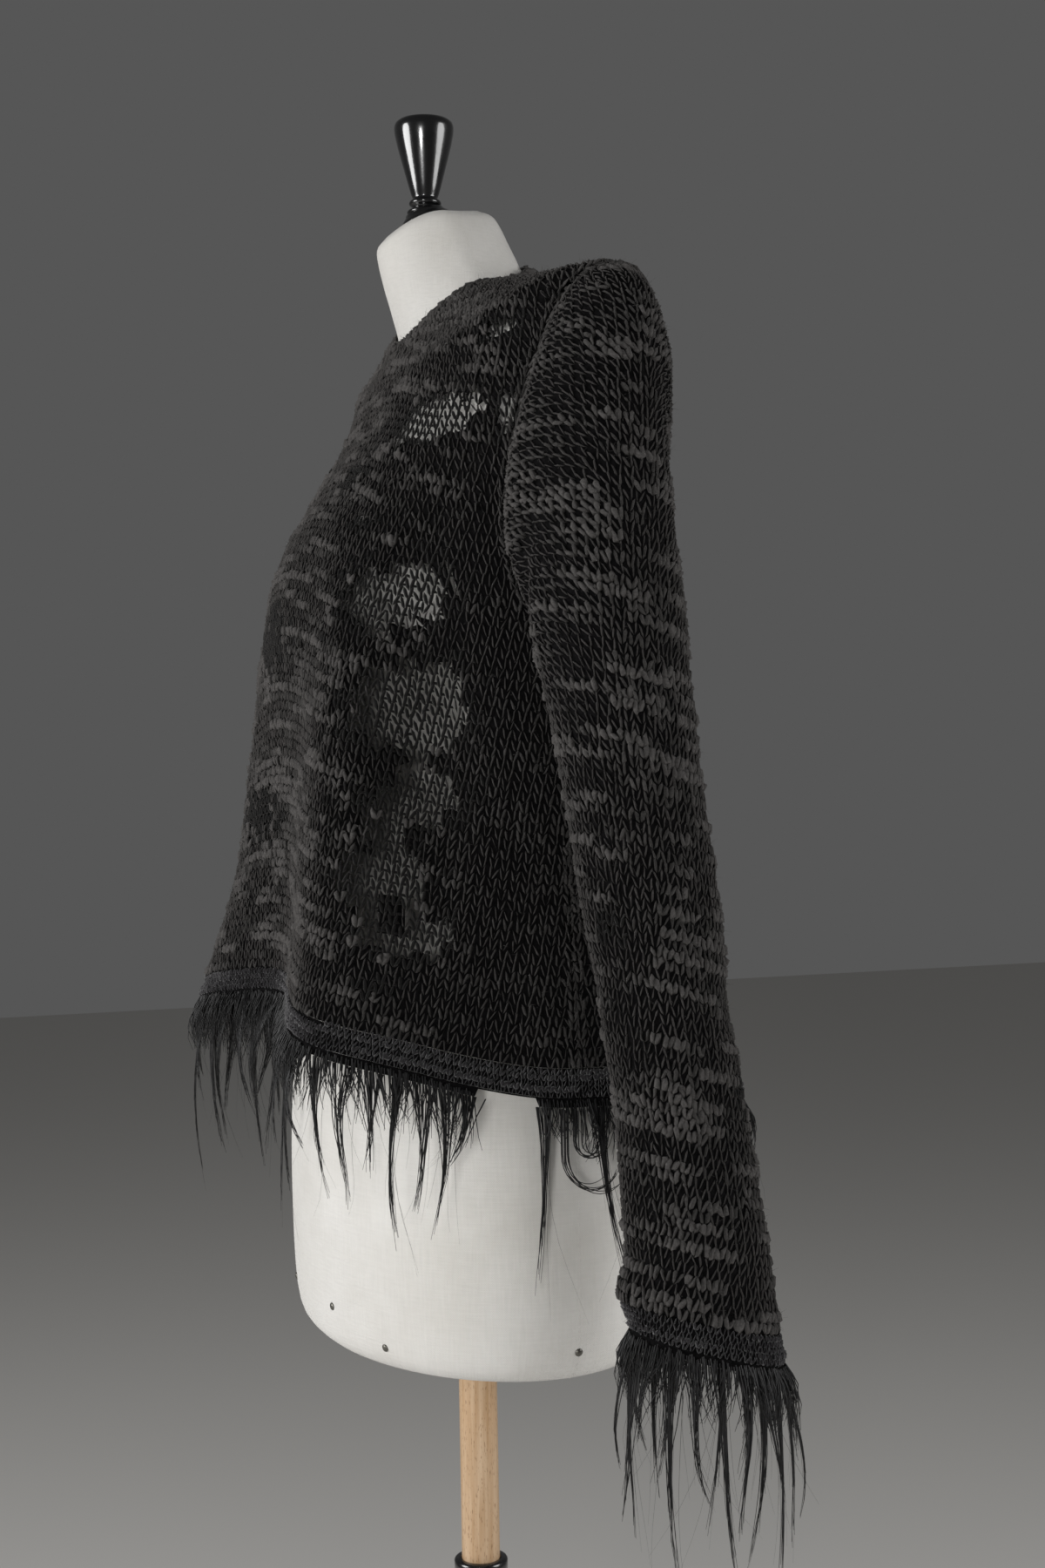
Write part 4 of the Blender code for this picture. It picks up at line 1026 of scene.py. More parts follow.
def knit_piece(
    name, knit, patches, seed, wale, course, yarn, fuzz,
    depth=YARN_DEPTH, bias=0.0, chains=(), slub_share_with_shade=even,
):
    """Stitches over a piece of cloth, chains along its edges, and loose fibres on all of them."""
    random = np.random.RandomState(seed)
    sites = knit.sites(wale, course)
    level, angle = sites[:, 0], sites[:, 1]
    position = knit.points(level, angle)
    normal = knit.normals(level, angle)
    ahead = knit.points(level, angle + 0.4) - knit.points(level, angle - 0.4)
    row_way = unit(ahead - normal * np.sum(ahead * normal, axis=1, keepdims=True))
    up_way = knit.points(level + 0.02, angle) - knit.points(level - 0.02, angle)
    turned = np.sum(np.cross(normal, row_way) * up_way, axis=1) < 0
    row_way[turned] *= -1.0
    # On the panels the share of slubs falls at the sides, which darkens the yarn there as painted shade.
    slub = np.clip(slub_field(sites, seed + 1) + bias, 0.0, 1.0) * slub_share_with_shade(angle)
    thin = openness(position, angle, patches, seed + 2)
    slub = np.where(thin > THIN_FROM, slub * 0.35, slub)
    kind = np.digitize(slub + random.normal(0.0, 0.05, len(slub)), KIND_STEPS) + 1
    kind = np.where(thin > NET_FROM, 0, kind).astype(np.int32)
    # The net's stitches take the darkest tone, a painted shade.
    slub = np.where(kind == 0, NET_PAINTED_SHADE, slub)
    for line in chains:
        edge, away, across = chain_sites(knit, line, course * 0.95)
        position = np.vstack((position, edge))
        normal = np.vstack((normal, away))
        row_way = np.vstack((row_way, across))
        slub = np.concatenate([slub, 0.3 + 0.4 * random.rand(len(edge))])
        kind = np.concatenate([kind, random.choice((2, 2, 3), len(edge)).astype(np.int32)])
    size = np.stack([
        wale * (1.0 + random.normal(0.0, 0.05, len(slub))),
        course * (1.0 + random.normal(0.0, 0.06, len(slub))),
        depth * (1.0 + random.normal(0.0, 0.10, len(slub))),
    ], 1)
    twist = np.radians(random.normal(0.0, 7.0, len(slub)))[:, None]
    row_way = row_way * np.cos(twist) + np.cross(normal, row_way) * np.sin(twist)
    position = position + row_way * random.normal(0.0, wale * 0.05, (len(slub), 1))
    lift = (slub * SLUB_LIFT)[:, None]
    source = sites_object(
        name + "_sites", position - normal * SITE_DEPTH + normal * lift, out_way=normal, row_way=row_way,
        pitch=size, kind=kind, slub=slub,
    )
    stitches = grow(source, loop_tree, {"Kinds": loops, "Fullness": 1.0, "Yarn": yarn}, name, keep=("slub",))
    roughen(stitches, wale * 0.060, seed + 3)
    fibres = fuzz_piece(
        name.replace("stitches", "fuzz"), position, normal, row_way, slub, wale, fuzz, yarn, random
    )
    return [stitches, fibres]


def cloth_ground(name, knit, rows, columns, edges_at, patches, seed, finish, closed=False):
    """The thin ground of a piece, a regular net of cells with the open patches left out."""
    levels = np.linspace(knit.bottom, knit.top, rows)
    shares = np.linspace(0.0, 1.0, columns + (0 if closed else 1), endpoint=not closed)
    level, share = (a.ravel() for a in np.meshgrid(levels, shares, indexing="ij"))
    random = np.random.RandomState(seed + 7)
    inner = (level > levels[0]) & (level < levels[-1]) & ((share > 0.0) & (share < 1.0) | closed)
    level = level + random.uniform(-0.36, 0.36, len(level)) * (levels[1] - levels[0]) * inner
    share = share + random.uniform(-0.36, 0.36, len(share)) * (shares[1] - shares[0]) * inner
    low, high = edges_at(level)
    angle = low + (high - low) * share
    position = knit.points(level, angle)
    normal = knit.normals(level, angle)
    thin = openness(position, angle, patches, seed + 2)
    across = len(shares)
    faces = []
    for row in range(rows - 1):
        for column in range(across if closed else across - 1):
            low_side, high_side = row * across, (row + 1) * across
            after = (column + 1) % across
            corners = (low_side + column, low_side + after, high_side + after, high_side + column)
            if thin[list(corners)].mean() < OPEN_FROM:
                faces.append(corners)
    outer = position - normal * CLOTH_IN
    piece = mesh_object(name, outer, faces, finish, 80.0)
    sides = np.cross(outer[faces[0][1]] - outer[faces[0][0]], outer[faces[0][3]] - outer[faces[0][0]])
    if np.dot(sides, normal[faces[0][0]]) < 0:
        piece.data.flip_normals()
    wall = piece.modifiers.new("wall", "SOLIDIFY")
    wall.thickness = CLOTH_THICK
    wall.offset = -1.0
    finished = plain_mesh(piece, name)
    finished.data.shade_smooth()
    return finished


def panel_edges(start, reach):
    """The two edges of a panel's ground, side seams and armholes, at each level."""
    def edges_at(level):
        margin = np.maximum(0.15, armhole_open(level, reach))
        return start + margin, start + 180.0 - margin
    return edges_at


def panel_allowed(start, reach):
    """Where a panel has stitches: inside its seams, its armholes and its neck edge."""
    def allowed(level, angle):
        margin = np.maximum(0.6, armhole_open(level, reach) + 0.6)
        return (angle > start + margin) & (angle < start + 180.0 - margin) & (level < NECK - 0.12)
    return allowed


PANELS = (
    ("front", 0.0, ARMHOLE_FRONT, 11, (0.60, 0.52)),
    ("back", 180.0, ARMHOLE_BACK, 23, (0.60, 0.57)),
)
for side, start, reach, seed, flat in PANELS:
    allowed = panel_allowed(start, reach)
    knit = Knit(body_points, body_normals, PANEL_LEVEL, NECK, start + 90.0, 90.0, allowed)
    ground = cloth_ground(
        f"{side}_panel_cloth", knit, 88, 88, panel_edges(start, reach), BODY_PATCHES, seed, painted_shade_yarn
    )
    put_on(ground, "knit", f"{side}_panel")
    seam = np.linspace(PANEL_LEVEL, UNDERARM, 60)
    hole = np.linspace(UNDERARM, SHOULDER, 80)
    shoulder = np.linspace(SHOULDER, NECK - 0.5, 40)
    neck = np.linspace(start + 2.5, start + 177.5, 80)
    chains = [(np.full(80, NECK - 0.07), neck)]
    for edge, way in ((start, 1.0), (start + 180.0, -1.0)):
        chains.append((seam, np.full(60, edge + way * 0.9)))
        chains.append((hole, edge + way * (armhole_open(hole, reach) + 1.0)))
        chains.append((shoulder, np.full(40, edge + way * 1.2)))
    stitched = knit_piece(
        f"{side}_panel_stitches", knit, BODY_PATCHES, seed, WALE, COURSE, slub_yarn,
        fuzz=0.8, chains=chains, slub_share_with_shade=fewer_slubs_as_side_shade,
    )
    for piece in stitched:
        put_on(piece, "knit")


# Sleeves. Each is one knitted tube, set into a slanting armhole and narrowing to the wrist. It
# hangs free of the form, with soft creases at the elbow and above the cuff.

SLEEVE_RINGS = np.array((
    ((0.2030, 0.037, 1.4055), (0.1760, -0.030, 1.2850), (0.1725, 0.0130, 1.1860), (0.1760, 0.082, 1.2950)),
    ((0.2200, 0.036, 1.3930), (0.1920, -0.036, 1.2780), (0.1785, 0.0145, 1.1870), (0.1930, 0.070, 1.2900)),
    ((0.2380, 0.034, 1.3620), (0.2050, -0.036, 1.2620), (0.1820, 0.0160, 1.1790), (0.2070, 0.0600, 1.2720)),
    ((0.2500, 0.030, 1.3180), (0.2130, -0.034, 1.2380), (0.1825, 0.0180, 1.1640), (0.2150, 0.0530, 1.2450)),
    ((0.2570, 0.027, 1.2650), (0.2180, -0.030, 1.2050), (0.1820, 0.0195, 1.1430), (0.2195, 0.0550, 1.2100)),
    ((0.2620, 0.025, 1.1980), (0.2210, -0.024, 1.1620), (0.1820, 0.0240, 1.1200), (0.2220, 0.0620, 1.1640)),
    ((0.2640, 0.029, 1.1120), (0.2245, -0.0145, 1.0980), (0.1850, 0.0290, 1.0800), (0.2245, 0.0695, 1.0980)),
    ((0.2670, 0.036, 1.0300), (0.2295, -0.0060, 1.0250), (0.1920, 0.0360, 1.0150), (0.2295, 0.0770, 1.0230)),
    ((0.2720, 0.043, 0.9550), (0.2360, 0.0025, 0.9550), (0.2000, 0.0430, 0.9480), (0.2360, 0.0830, 0.9500)),
    ((0.2790, 0.048, 0.8850), (0.2430, 0.0070, 0.8880), (0.2070, 0.0480, 0.8800), (0.2430, 0.0890, 0.8780)),
    ((0.2870, 0.054, 0.8180), (0.2510, 0.0095, 0.8260), (0.2145, 0.0540, 0.8160), (0.2510, 0.0970, 0.8080)),
    ((0.2915, 0.058, 0.7720), (0.2550, 0.0070, 0.7850), (0.2185, 0.0580, 0.7720), (0.2550, 0.1020, 0.7600)),
    ((0.2930, 0.059, 0.7550), (0.2565, 0.0095, 0.7690), (0.2200, 0.0590, 0.7560), (0.2565, 0.1035, 0.7430)),
)).reshape(-1, 12)
SLEEVE_END = len(SLEEVE_RINGS) - 1
ARMHOLE_GAP = 0.0011
BLEND_REACH = 1.6
CUFF_GAP_STEP = 0.02
# Creases: ring, reach along, angle round, reach round, depth. The first eight are the solid's own.
SLEEVE_CREASES = (
    (3.2, 0.5, 115.0, 45.0, -0.0050),
    (4.6, 0.4, 60.0, 40.0, 0.0030),
    (6.1, 0.5, 250.0, 50.0, -0.0035),
    (7.2, 0.4, 40.0, 50.0, 0.0030),
    (8.0, 0.35, 300.0, 40.0, -0.0030),
    (8.9, 0.4, 90.0, 45.0, -0.0030),
    (9.8, 0.35, 20.0, 60.0, 0.0025),
    (10.8, 0.30, 95.0, 60.0, 0.0040),
    (5.4, 0.22, 350.0, 60.0, -0.0014),
    (7.7, 0.20, 60.0, 50.0, -0.0014),
    (9.3, 0.16, 330.0, 60.0, 0.0014),
    (10.3, 0.16, 60.0, 60.0, -0.0016),
)


def mirrored(points, side):
    """Left-side points for side 0, and their mirror images for side 180."""
    return points if side == 0.0 else points * (-1.0, 1.0, 1.0)


def armhole_edge(turn, side):
    """Points just inside an armhole's edge and the way to its middle, both as on the left side."""
    along, aside = np.cos(np.radians(turn)), np.sin(np.radians(turn))
    level = (UNDERARM + SHOULDER + (SHOULDER - UNDERARM) * along) / 2.0
    reach = aside * np.where(aside > 0, ARMHOLE_FRONT, ARMHOLE_BACK)
    angle = reach if side == 0.0 else side - reach
    normal = body_normals(level, angle)
    edge = body_points(level, angle)
    middle = body_points([(UNDERARM + SHOULDER) / 2.0], [side])
    inward = middle - edge
    inward = unit(inward - normal * np.sum(inward * normal, axis=1, keepdims=True))
    return mirrored(edge + inward * ARMHOLE_GAP, side), mirrored(inward, side)


def sleeve_rings(station, turn):
    """Points of the creased sleeve before it meets the armhole, and the middle of each ring."""
    outer, front, inner, back = np.split(between_rows(SLEEVE_RINGS, station), 4, axis=1)
    centre = (outer + inner) / 2.0
    along, aside = np.cos(np.radians(turn))[:, None], np.sin(np.radians(turn))[:, None]
    spoke = (outer - centre) * along + (np.where(aside > 0, front, back) - centre) * np.abs(aside)
    depth = np.zeros(len(station))
    for ring, reach, place, spread, size in SLEEVE_CREASES:
        away = wrapped(turn - place)
        depth += size * np.exp(-(((station - ring) / reach) ** 2) - (away / spread) ** 2)
    return centre + spoke * (1.0 + depth / np.linalg.norm(spoke, axis=1))[:, None], centre


# For each armhole, how far the sleeve's first ring lies from its edge, all the way round.
edge_cache = {}


def sleeve_points(station, turn, side):
    """Points of a sleeve, as on the left. Turn 0 is the outside, 90 the front, 180 the inside."""
    station, turn = pair_up(station, turn)
    station = np.maximum(station, 0.0)
    point = sleeve_rings(station, turn)[0]
    if side not in edge_cache:
        fine = np.arange(-1.0, 362.0, 1.0)
        edge_cache[side] = (fine, armhole_edge(fine, side)[0] - sleeve_rings(np.zeros(len(fine)), fine)[0])
    fine, offset = edge_cache[side]
    held = 1.0 - smooth_rise(station / BLEND_REACH)
    shift = np.stack([np.interp(turn % 360.0, fine, offset[:, axis]) for axis in range(3)], 1)
    return point + shift * held[:, None]


def sleeve_normals(station, turn, side):
    station, turn = pair_up(station, turn)
    station = np.clip(station, 0.03, SLEEVE_END)
    inside = sleeve_rings(station, turn)[1]
    return outward_normals(lambda s, t: sleeve_points(s, t, side), station, turn, inside, SLEEVE_END + 1)


SLEEVE_PATCHES = ((60.0, 1.000, 26.0, 0.012, 0.62), (300.0, 0.900, 26.0, 0.012, 0.62))


def sleeve_surface(side, foot):
    """Surface functions of (level, angle), with level 0 at the ring foot and rising to the armhole."""
    def points(level, angle):
        level, angle = pair_up(level, angle)
        return mirrored(sleeve_points(foot - level, angle, side), side)

    def normals(level, angle):
        level, angle = pair_up(level, angle)
        return mirrored(sleeve_normals(foot - level, angle, side), side)

    return points, normals


def all_round(level):
    return np.zeros(len(level)), np.full(len(level), 360.0)


WRIST = SLEEVE_END - 1.0 - CUFF_GAP_STEP
for name, side, seed in (("left", 0.0, 37), ("right", 180.0, 53)):
    points, normals = sleeve_surface(side, WRIST)
    knit = Knit(points, normals, 0.0, WRIST, 0.0, 180.0, lambda level, angle: level < WRIST - 0.02)
    ground = cloth_ground(
        f"sleeve_{name}_cloth", knit, 100, 44, all_round, SLEEVE_PATCHES, seed, painted_shade_yarn, closed=True
    )
    put_on(ground, "knit", f"sleeve_{name}")
    stitched = knit_piece(
        f"sleeve_{name}_stitches", knit, SLEEVE_PATCHES, seed, WALE, COURSE * 1.06, slub_yarn,
        fuzz=0.8, chains=[(np.full(120, WRIST - 0.05), np.linspace(-180.0, 180.0, 120))],
    )
    for piece in stitched:
        put_on(piece, "knit")


# Edge bands. A strip of fine, dense knit in thinner black yarn closes the hem and each cuff. It is
# linked on stitch by stitch, and the fringe hangs from its lower edge.

BAND_WALE = 0.0042                     # its stitches are about half the size of the panels'
BAND_COURSE = 0.0034
BAND_DEPTH = 0.0024

# Finer and smoother wool than the slub yarn, dyed black and wholly matt.
band_yarn, tree, shader = start_material(
    "fine_black_wool", Roughness=0.95, Sheen_Weight=0.2, Sheen_Roughness=0.5
)
shader.inputs["Specular IOR Level"].default_value = 0.15
mottle(tree, shader, (800.0, 3.0), (0.3, "19181a"), (0.72, "302e30"), (0.5, 0.0004))


def edge_band(piece, surface, top, middle, columns, seed):
    """The ground and the stitches of a band that runs all round an edge, from level 0 up to top."""
    knit = Knit(*surface, 0.0, top, middle, 180.0, lambda level, angle: level < top, whole_round=True)
    ground = cloth_ground(
        f"{piece}_cloth", knit, 6, columns, all_round, (), seed, painted_shade_yarn, closed=True
    )
    put_on(ground, "edge_knit", piece)
    stitched = knit_piece(
        f"{piece}_stitches", knit, (), seed, BAND_WALE, BAND_COURSE, band_yarn,
        fuzz=0.35, depth=BAND_DEPTH, bias=0.12,
    )
    for part in stitched:
        put_on(part, "edge_knit")
    return ground, stitched


ground, stitched = edge_band("hem_band", (body_points, body_normals), BAND_LEVEL, 180.0, 260, 71)
for name, side, seed in (("left", 0.0, 83), ("right", 180.0, 97)):
    ground, stitched = edge_band(
        f"cuff_band_{name}", sleeve_surface(side, SLEEVE_END), 1.0, 0.0, 72, seed
    )


# Fringe. Long straight goat hair, dyed black, caught in a narrow tape that is sewn under each edge
# band. Near the tape it is dense. Lower down it draws together into pointed locks.

STRIP_HEIGHT = 0.006
STRIP_WALL = 0.0022
BARE_HEIGHT = 0.0010                   # of the tape where it is tucked up and no hair hangs
TAPE_INSET = 0.0007
# Locks, in the order in which they repeat: length, sweep along the edge, lean away from the form.
LOCKS = (
    (0.105, -0.010, 0.008),
    (0.070, -0.012, 0.012),
    (0.135, -0.010, 0.006),
    (0.090, -0.006, 0.011),
    (0.150, -0.001, 0.007),
    (0.062, 0.004, 0.012),
    (0.118, 0.008, 0.007),
    (0.098, 0.010, 0.011),
    (0.142, 0.007, 0.006),
    (0.080, 0.002, 0.012),
    (0.110, -0.005, 0.008),
)
HEM_HAIR = 0.78                        # share of those lengths that the hair has here
CUFF_HAIR = 0.88
HEM_LOCKS = 40                         # places for a lock along each half of the hem
CUFF_LOCKS = 20
LOCK_PLACE = 0.69                      # where in its place a lock hangs
LOCK_CURL = 2.4
BARE_HEM = (10.0, 24.0)                # degrees of the hem with no hair
CURLED_HEM = (353.0, 9.5)              # here only the locks of the next two tables hang below the root
# Straight locks beside the curls: angle, length, sweep and lean.
LONG_LOCKS = ((8.3, 0.144, 0.004, 0.002), (354.6, 0.140, -0.016, 0.002))
# Locks that curl up: angle, radius, side, straight fall before the curl, and how far it turns.
HEM_CURLS = (
    (5.0, 0.0175, -1.0, 0.028, 2.6),
    (1.5, 0.0078, -1.0, 0.020, 3.9),
    (201.0, 0.0160, 1.0, 0.028, 4.1),
)
STRANDS_IN_LOCK = 17
FLYAWAYS = 4                           # thin loose hairs beside each lock
STRANDS_IN_CURL = 7
SHORT_SPACING = 0.0007                 # between the short hairs of the dense root
LOCK_RADIUS = 0.00054                  # of a strand, where it leaves the tape
FLYAWAY_RADIUS = 0.00015
STRAND_RADIUS = 0.00052                # of curls and short hairs
# Locks between these lengths are gathered more tightly in the tape than the others.
GATHERED = (0.12, 0.145)
TIGHT_ROOT = 0.0030
LOOSE_ROOT = 0.0056

# Goat hair, dyed black: straight, coarse and a little glossy, slightly greyer in places.
hair, tree, shader = start_material("dyed_goat_hair", Roughness=0.5)
shader.inputs["Specular IOR Level"].default_value = 0.3
mottle(tree, shader, (260.0, 2.0), (0.3, "0a0a0a"), (0.75, "1b1a1b"))


def hair_lines(roots, outward, lock_at, full, seed, bare=(), curls=()):
    """Lines of points for the locks and the short hair of one length of tape.

    roots is the tape's lower edge as a fine line and outward the way out along it. lock_at gives
    each lock's distance along, length, sweep and lean, bare the stretches with no short hair, and
    curls the locks that curl up, as in the table above but by their distance along.
    """
    random = np.random.RandomState(seed)
    along = distances(roots)
    shares = np.linspace(0.0, 1.0, 9)
    lines, radii = [], []

    def at(distance, field):
        return np.stack([np.interp(distance, along, field[:, axis]) for axis in range(3)], 1)

    edge_way = unit(np.gradient(roots, axis=0))
    down = np.array((0.0, 0.0, -1.0))
    for distance, length, sweep, lean in lock_at:
        count = STRANDS_IN_LOCK + FLYAWAYS
        loose = np.arange(count) >= STRANDS_IN_LOCK
        gathered = GATHERED[0] <= length <= GATHERED[1]
        start = distance + random.normal(0.0, TIGHT_ROOT if gathered else LOOSE_ROOT, count)
        root = at(start, roots) - at(start, outward) * (random.rand(count) * STRIP_WALL)[:, None]
        heart = at([distance], roots) - at([distance], outward) * (STRIP_WALL / 2.0)
        ahead, away = at([distance], edge_way), unit(at([distance], outward) * (1.0, 1.0, 0.0))
        reach = length * full * np.where(
            loose, 0.45 + 0.75 * random.rand(count), 0.55 + 0.47 * random.rand(count)
        )
        bend, hook, roll = random.normal(0.0, 0.008), random.normal(0.0, 0.0035), random.rand() * 6.28
        for number in range(count):
            share = shares[:, None]
            drop = share * reach[number] / (length * full)
            spread = np.interp(shares, (0.0, 0.22, 0.6, 1.0), (1.0, 0.54, 0.20, 0.04))[:, None]
            own = random.normal(0.0, 0.0013)
            if loose[number]:
                spread = 0.55 + 0.45 * spread
                own = random.normal(0.0, 0.012)
            aside = (sweep * full + bend + own) * drop ** 2 + hook * np.sin(3.6 * drop + roll) * drop
            out = lean * full * np.sin(drop * LOCK_CURL) + 0.003 * np.sin(2.6 * drop + roll) * drop
            wobble = 0.0009 * np.sin(share * (5.0 + 2.0 * (number % 4)) + random.rand() * 6.28) * share
            line = heart + down * reach[number] * share
            line = line + ahead * (aside + wobble) + away * (out + 0.7 * wobble)
            lines.append(line + (root[number] - heart) * spread)
            radius = FLYAWAY_RADIUS if loose[number] else LOCK_RADIUS
            radii.append(radius * (1.0 - 0.78 * shares))
    for distance, radius, side, first_fall, last_turn in curls:
        round_it = np.linspace(0.0, 1.0, 18)
        for number in range(STRANDS_IN_CURL):
            start = distance + random.normal(0.0, 0.0025)
            root, ahead = at([start], roots), at([start], edge_way)
            away = unit(at([start], outward) * (1.0, 1.0, 0.0))
            own = radius * (1.0 + random.normal(0.0, 0.07))
            turn = np.clip((round_it - 0.3) / 0.7, 0.0, 1.0) * last_turn * random.uniform(0.94, 1.06)
            fall = np.minimum(round_it / 0.3, 1.0) * first_fall + own * 1.15 * np.sin(turn)
            aside = side * own * (1.0 - np.cos(turn)) + random.normal(0.0, 0.0008)
            out = 0.004 + 0.005 * np.sin(turn * 0.7 + number)
            lines.append(root + down * fall[:, None] + ahead * aside[:, None] + away * out[:, None])
            radii.append(STRAND_RADIUS * (1.0 - 0.6 * round_it))
    short = np.arange(0.0, along[-1], SHORT_SPACING)
    kept = np.ones(len(short), bool)
    for low, high in bare:
        kept &= (short < low) | (short > high)
    short = short[kept]
    short_shares = np.linspace(0.0, 1.0, 5)
    start = short + random.normal(0.0, 0.0008, len(short))
    rise = STRIP_HEIGHT * (0.3 + 0.6 * random.rand(len(short)))
    root = at(start, roots) - down * rise[:, None]
    away = unit(at(start, outward) * (1.0, 1.0, 0.0))
    ahead = at(start, edge_way)
    length = 0.017 + 0.021 * random.rand(len(short))
    for distance, *_ in curls:
        shorter = np.minimum(length, 0.020 + 0.004 * random.rand(len(short)))
        length = np.where(np.abs(short - distance) < 0.022, shorter, length)
    sweep = random.normal(0.0, 0.0045, len(short)) + 0.005 * np.sin(short * 190.0)
    lean = 0.0015 + 0.0075 * random.rand(len(short)) ** 1.5
    phase = random.rand(len(short)) * 6.28
    for number in range(len(short)):
        share = short_shares[:, None]
        curl = 0.0012 * np.sin(share * 6.0 + phase[number]) * share
        line = root[number] + away[number] * (0.0006 + lean[number] * np.sin(share * 2.2) + curl)
        line = line + down * length[number] * share + ahead[number] * (sweep[number] * share ** 2 + curl)
        lines.append(line)
        radii.append(STRAND_RADIUS * (1.0 - 0.72 * short_shares))
    return lines, radii


def hair_piece(name, lines, radii):
    """The hairs along the given lines of points, as thick as the radii say."""
    points = np.vstack(lines)
    edges, first = [], 0
    for line in lines:
        edges += [(first + i, first + i + 1) for i in range(len(line) - 1)]
        first += len(line)
    source = sites_object(name + "_lines", points, edges, hair=np.concatenate(radii))
    return grow(source, strand_tree, {"Sides": 3, "Finish": hair}, name)


def tape_piece(name, edge, outward, closed, height=STRIP_HEIGHT):
    """The narrow woven tape that holds the hair, a strip of four faces a length.

    Its top reaches up to the band, so that the seam between them is closed.
    """
    down = np.array((0.0, 0.0, -1.0)) * (np.zeros(len(edge)) + height)[:, None]
    edge = edge - outward * TAPE_INSET + (0.0, 0.0, SEAM_GAP - 0.0001)
    wall = outward * (STRIP_WALL - TAPE_INSET)
    rings = np.stack([edge, edge + down, edge + down - wall, edge - wall], 1)
    count = len(edge)
    faces = []
    for index in range(count if closed else count - 1):
        after = (index + 1) % count
        for side in range(4):
            other = (side + 1) % 4
            faces.append((4 * index + side, 4 * index + other, 4 * after + other, 4 * after + side))
    if not closed:
        faces += [(3, 2, 1, 0), (4 * count - 4, 4 * count - 3, 4 * count - 2, 4 * count - 1)]
    points = rings.reshape(-1, 3)
    a, b, c = (points[i] for i in faces[0][:3])
    if np.dot(np.cross(b - a, c - a), outward[0]) < 0:
        faces = [tuple(reversed(face)) for face in faces]
    # The tape takes the near-black ground tone, painted shade, for the shade it sits in under the band.
    return mesh_object(name, points, faces, painted_shade_yarn, 30.0)


def fringe(piece, edge, outward, locks, full, seed, closed=False, height=STRIP_HEIGHT, bare=(), curls=()):
    """One length of fringe under an edge: the tape, which stands for the solid, and its hair."""
    roots = edge + (0.0, 0.0, -STRIP_HEIGHT)
    lines, radii = hair_lines(roots, outward, locks, full, seed, bare, curls)
    end = len(edge) - 1 if closed else len(edge)
    tape = tape_piece(f"{piece}_tape", edge[:end], outward[:end], closed, height)
    put_on(tape, "fringe_hair", piece)
    put_on(hair_piece(f"{piece}_hair", lines, radii), "fringe_hair")


for name, start, shift, seed in (("front", 0.0, 0, 101), ("back", 180.0, 5, 113)):
    angles = start + np.linspace(0.12, 179.88, 241)
    outward = body_normals(np.zeros(len(angles)), angles)
    edge = body_points(np.zeros(len(angles)), angles) + (0.0, 0.0, -SEAM_GAP)
    along = distances(edge + (0.0, 0.0, -STRIP_HEIGHT))
    locks = []
    for index in range(HEM_LOCKS):
        middle = start + 180.0 * (index + 0.5) / HEM_LOCKS
        if BARE_HEM[0] < middle < BARE_HEM[1] or middle > CURLED_HEM[0] or middle < CURLED_HEM[1]:
            continue
        length, sweep, lean = LOCKS[(index + shift) % len(LOCKS)]
        centre = start + 180.0 * (index + LOCK_PLACE) / HEM_LOCKS
        locks.append((float(np.interp(centre, angles, along)), length, sweep, lean))
    for angle, length, sweep, lean in LONG_LOCKS:
        if start < angle < start + 180.0:
            locks.append((float(np.interp(angle, angles, along)), length, sweep, lean))
    bare = [tuple(np.interp(BARE_HEM, angles, along))] if start == 0.0 else []
    curls = []
    for angle, *shape in HEM_CURLS:
        if start < angle < start + 180.0:
            curls.append((float(np.interp(angle, angles, along)), *shape))
    tucked = (angles > BARE_HEM[0]) & (angles < BARE_HEM[1])
    fringe(
        f"hem_fringe_{name}", edge, outward, locks, HEM_HAIR, seed,
        height=np.where(tucked, BARE_HEIGHT, STRIP_HEIGHT), bare=bare, curls=curls,
    )

for name, side, seed in (("left", 0.0, 127), ("right", 180.0, 139)):
    angles = np.linspace(0.0, 360.0, 181)
    points, normals = sleeve_surface(side, SLEEVE_END)
    edge = points(np.zeros(len(angles)), angles) + (0.0, 0.0, -SEAM_GAP)
    outward = normals(np.zeros(len(angles)), angles)
    along = distances(edge + (0.0, 0.0, -STRIP_HEIGHT))
    locks = []
    for index in range(CUFF_LOCKS):
        length, sweep, lean = LOCKS[(index + 2) % len(LOCKS)]
        centre = 360.0 / CUFF_LOCKS * (index + LOCK_PLACE)
        locks.append((float(np.interp(centre, angles, along)), length, sweep, lean))
    fringe(f"cuff_fringe_{name}", edge, outward, locks, CUFF_HAIR, seed, closed=True)


# Studio. A plain pale floor, a large soft key from the left of the picture, a weaker one from its
# right, a small fill beside the camera that reaches the canvas behind the open net, and a dim pale room.
# The camera stands level on the wearer's left, as in the photo.

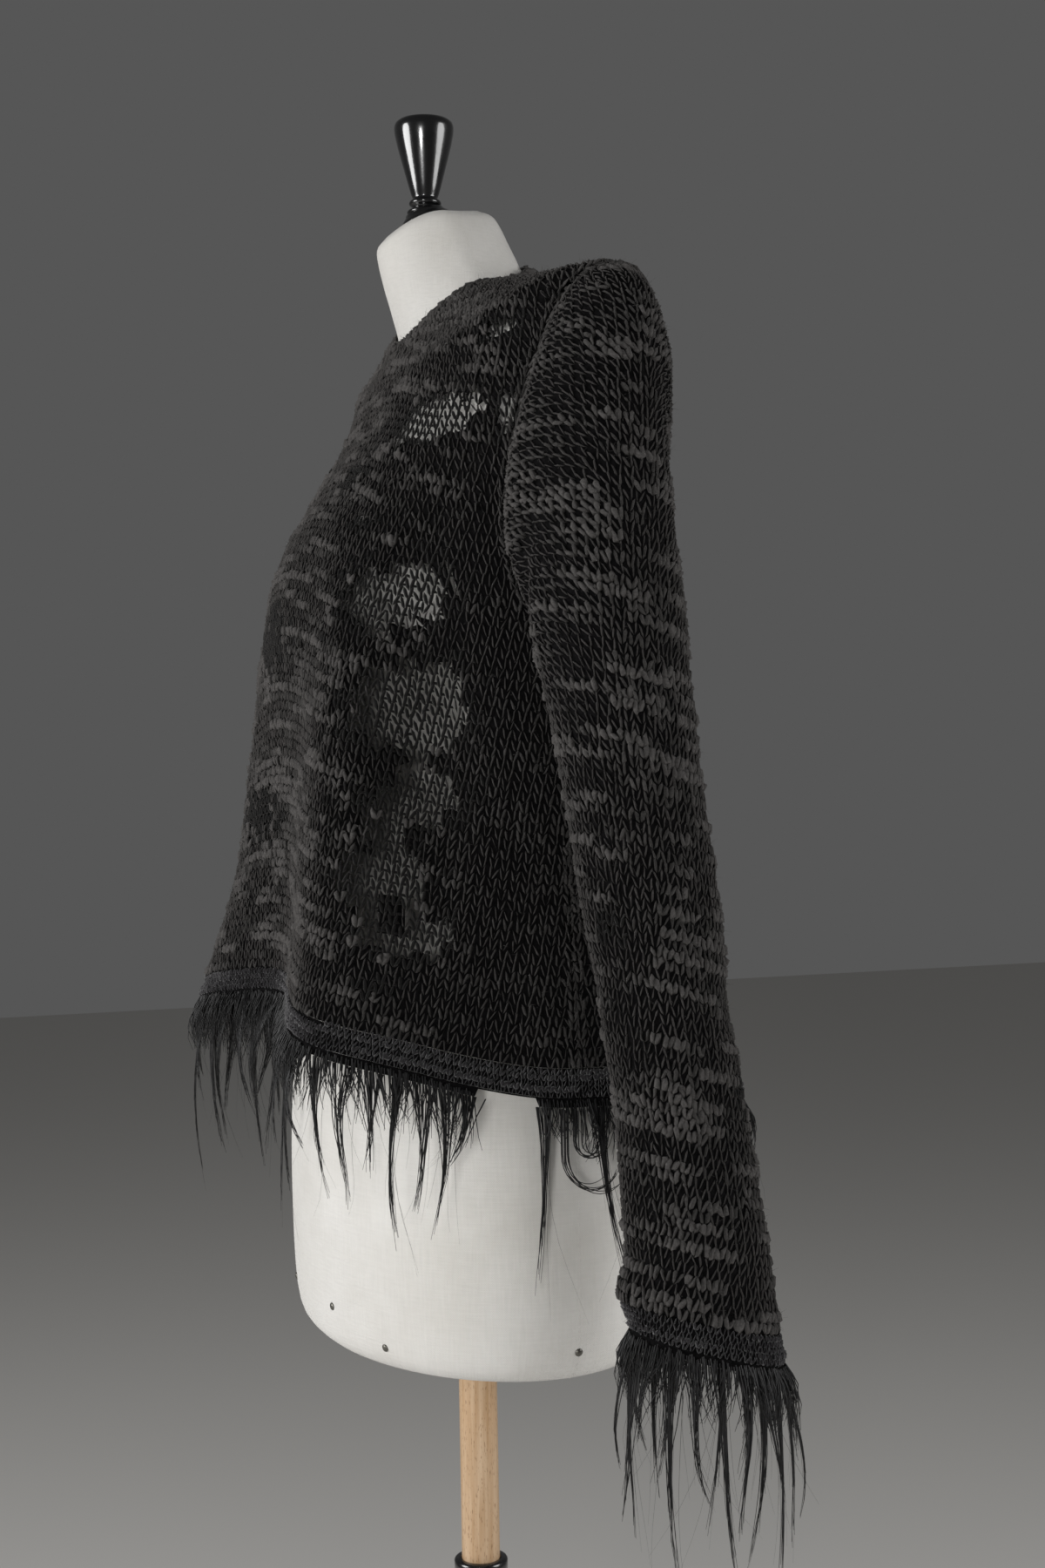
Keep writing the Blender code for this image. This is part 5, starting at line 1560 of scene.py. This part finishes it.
# Seamless studio paper laid out on the floor: matt and nearly white.
paper, tree, shader = start_material("pale_floor_paper", Base_Color=linear("d9d7d3"), Roughness=0.9)
FLOOR_CORNERS = ((-9.0, -9.0), (9.0, -9.0), (9.0, 9.0), (-9.0, 9.0))
FLOOR_Z = -0.0005                      # just under the base, so that the two don't share a plane
floor = mesh_object("floor", [(x, y, FLOOR_Z) for x, y in FLOOR_CORNERS], [(0, 1, 2, 3)], paper)

world = bpy.data.worlds.new("pale_room")
bpy.context.scene.world = world
world.use_nodes = True
world.node_tree.nodes["Background"].inputs[0].default_value = linear("dcdcdc")
world.node_tree.nodes["Background"].inputs[1].default_value = 0.13


def soft_light(name, place, aim, size, power):
    lamp = bpy.data.lights.new(name, "AREA")
    lamp.shape = "DISK"
    lamp.size = size
    lamp.energy = power
    made = bpy.data.objects.new(name, lamp)
    made.location = place
    made.rotation_euler = (Vector(aim) - Vector(place)).to_track_quat("-Z", "Y").to_euler()
    bpy.context.scene.collection.objects.link(made)


VIEW_AZIMUTH = math.radians(70.0)
VIEW_DISTANCE = 1.45
EYE_HEIGHT = 1.087
VIEW_SIDESTEP = 0.0381
sight = Vector((math.sin(VIEW_AZIMUTH), -math.cos(VIEW_AZIMUTH), 0.0))
to_right = Vector((math.cos(VIEW_AZIMUTH), math.sin(VIEW_AZIMUTH), 0.0))
soft_light("key", sight * 0.85 - to_right * 2.65 + Vector((0.0, 0.0, 1.5)), (0.0, 0.0, 1.0), 1.5, 68.0)
soft_light("fill", sight * 2.7 - to_right * 0.5 + Vector((0.0, 0.0, 1.2)), (0.0, 0.0, 1.0), 0.5, 27.0)
soft_light("side", sight * 0.8 + to_right * 2.5 + Vector((0.0, 0.0, 1.5)), (0.0, 0.0, 1.0), 1.5, 40.0)

eye = bpy.data.cameras.new("photo_view")
eye.sensor_width = 36.0
eye.lens = 48.0
camera = bpy.data.objects.new("photo_view", eye)
camera.location = sight * VIEW_DISTANCE + to_right * VIEW_SIDESTEP + Vector((0.0, 0.0, EYE_HEIGHT))
camera.rotation_euler = (math.radians(90.0), math.radians(1.0), VIEW_AZIMUTH)
bpy.context.scene.collection.objects.link(camera)
bpy.context.scene.camera = camera
bpy.context.scene.view_settings.view_transform = "Standard"
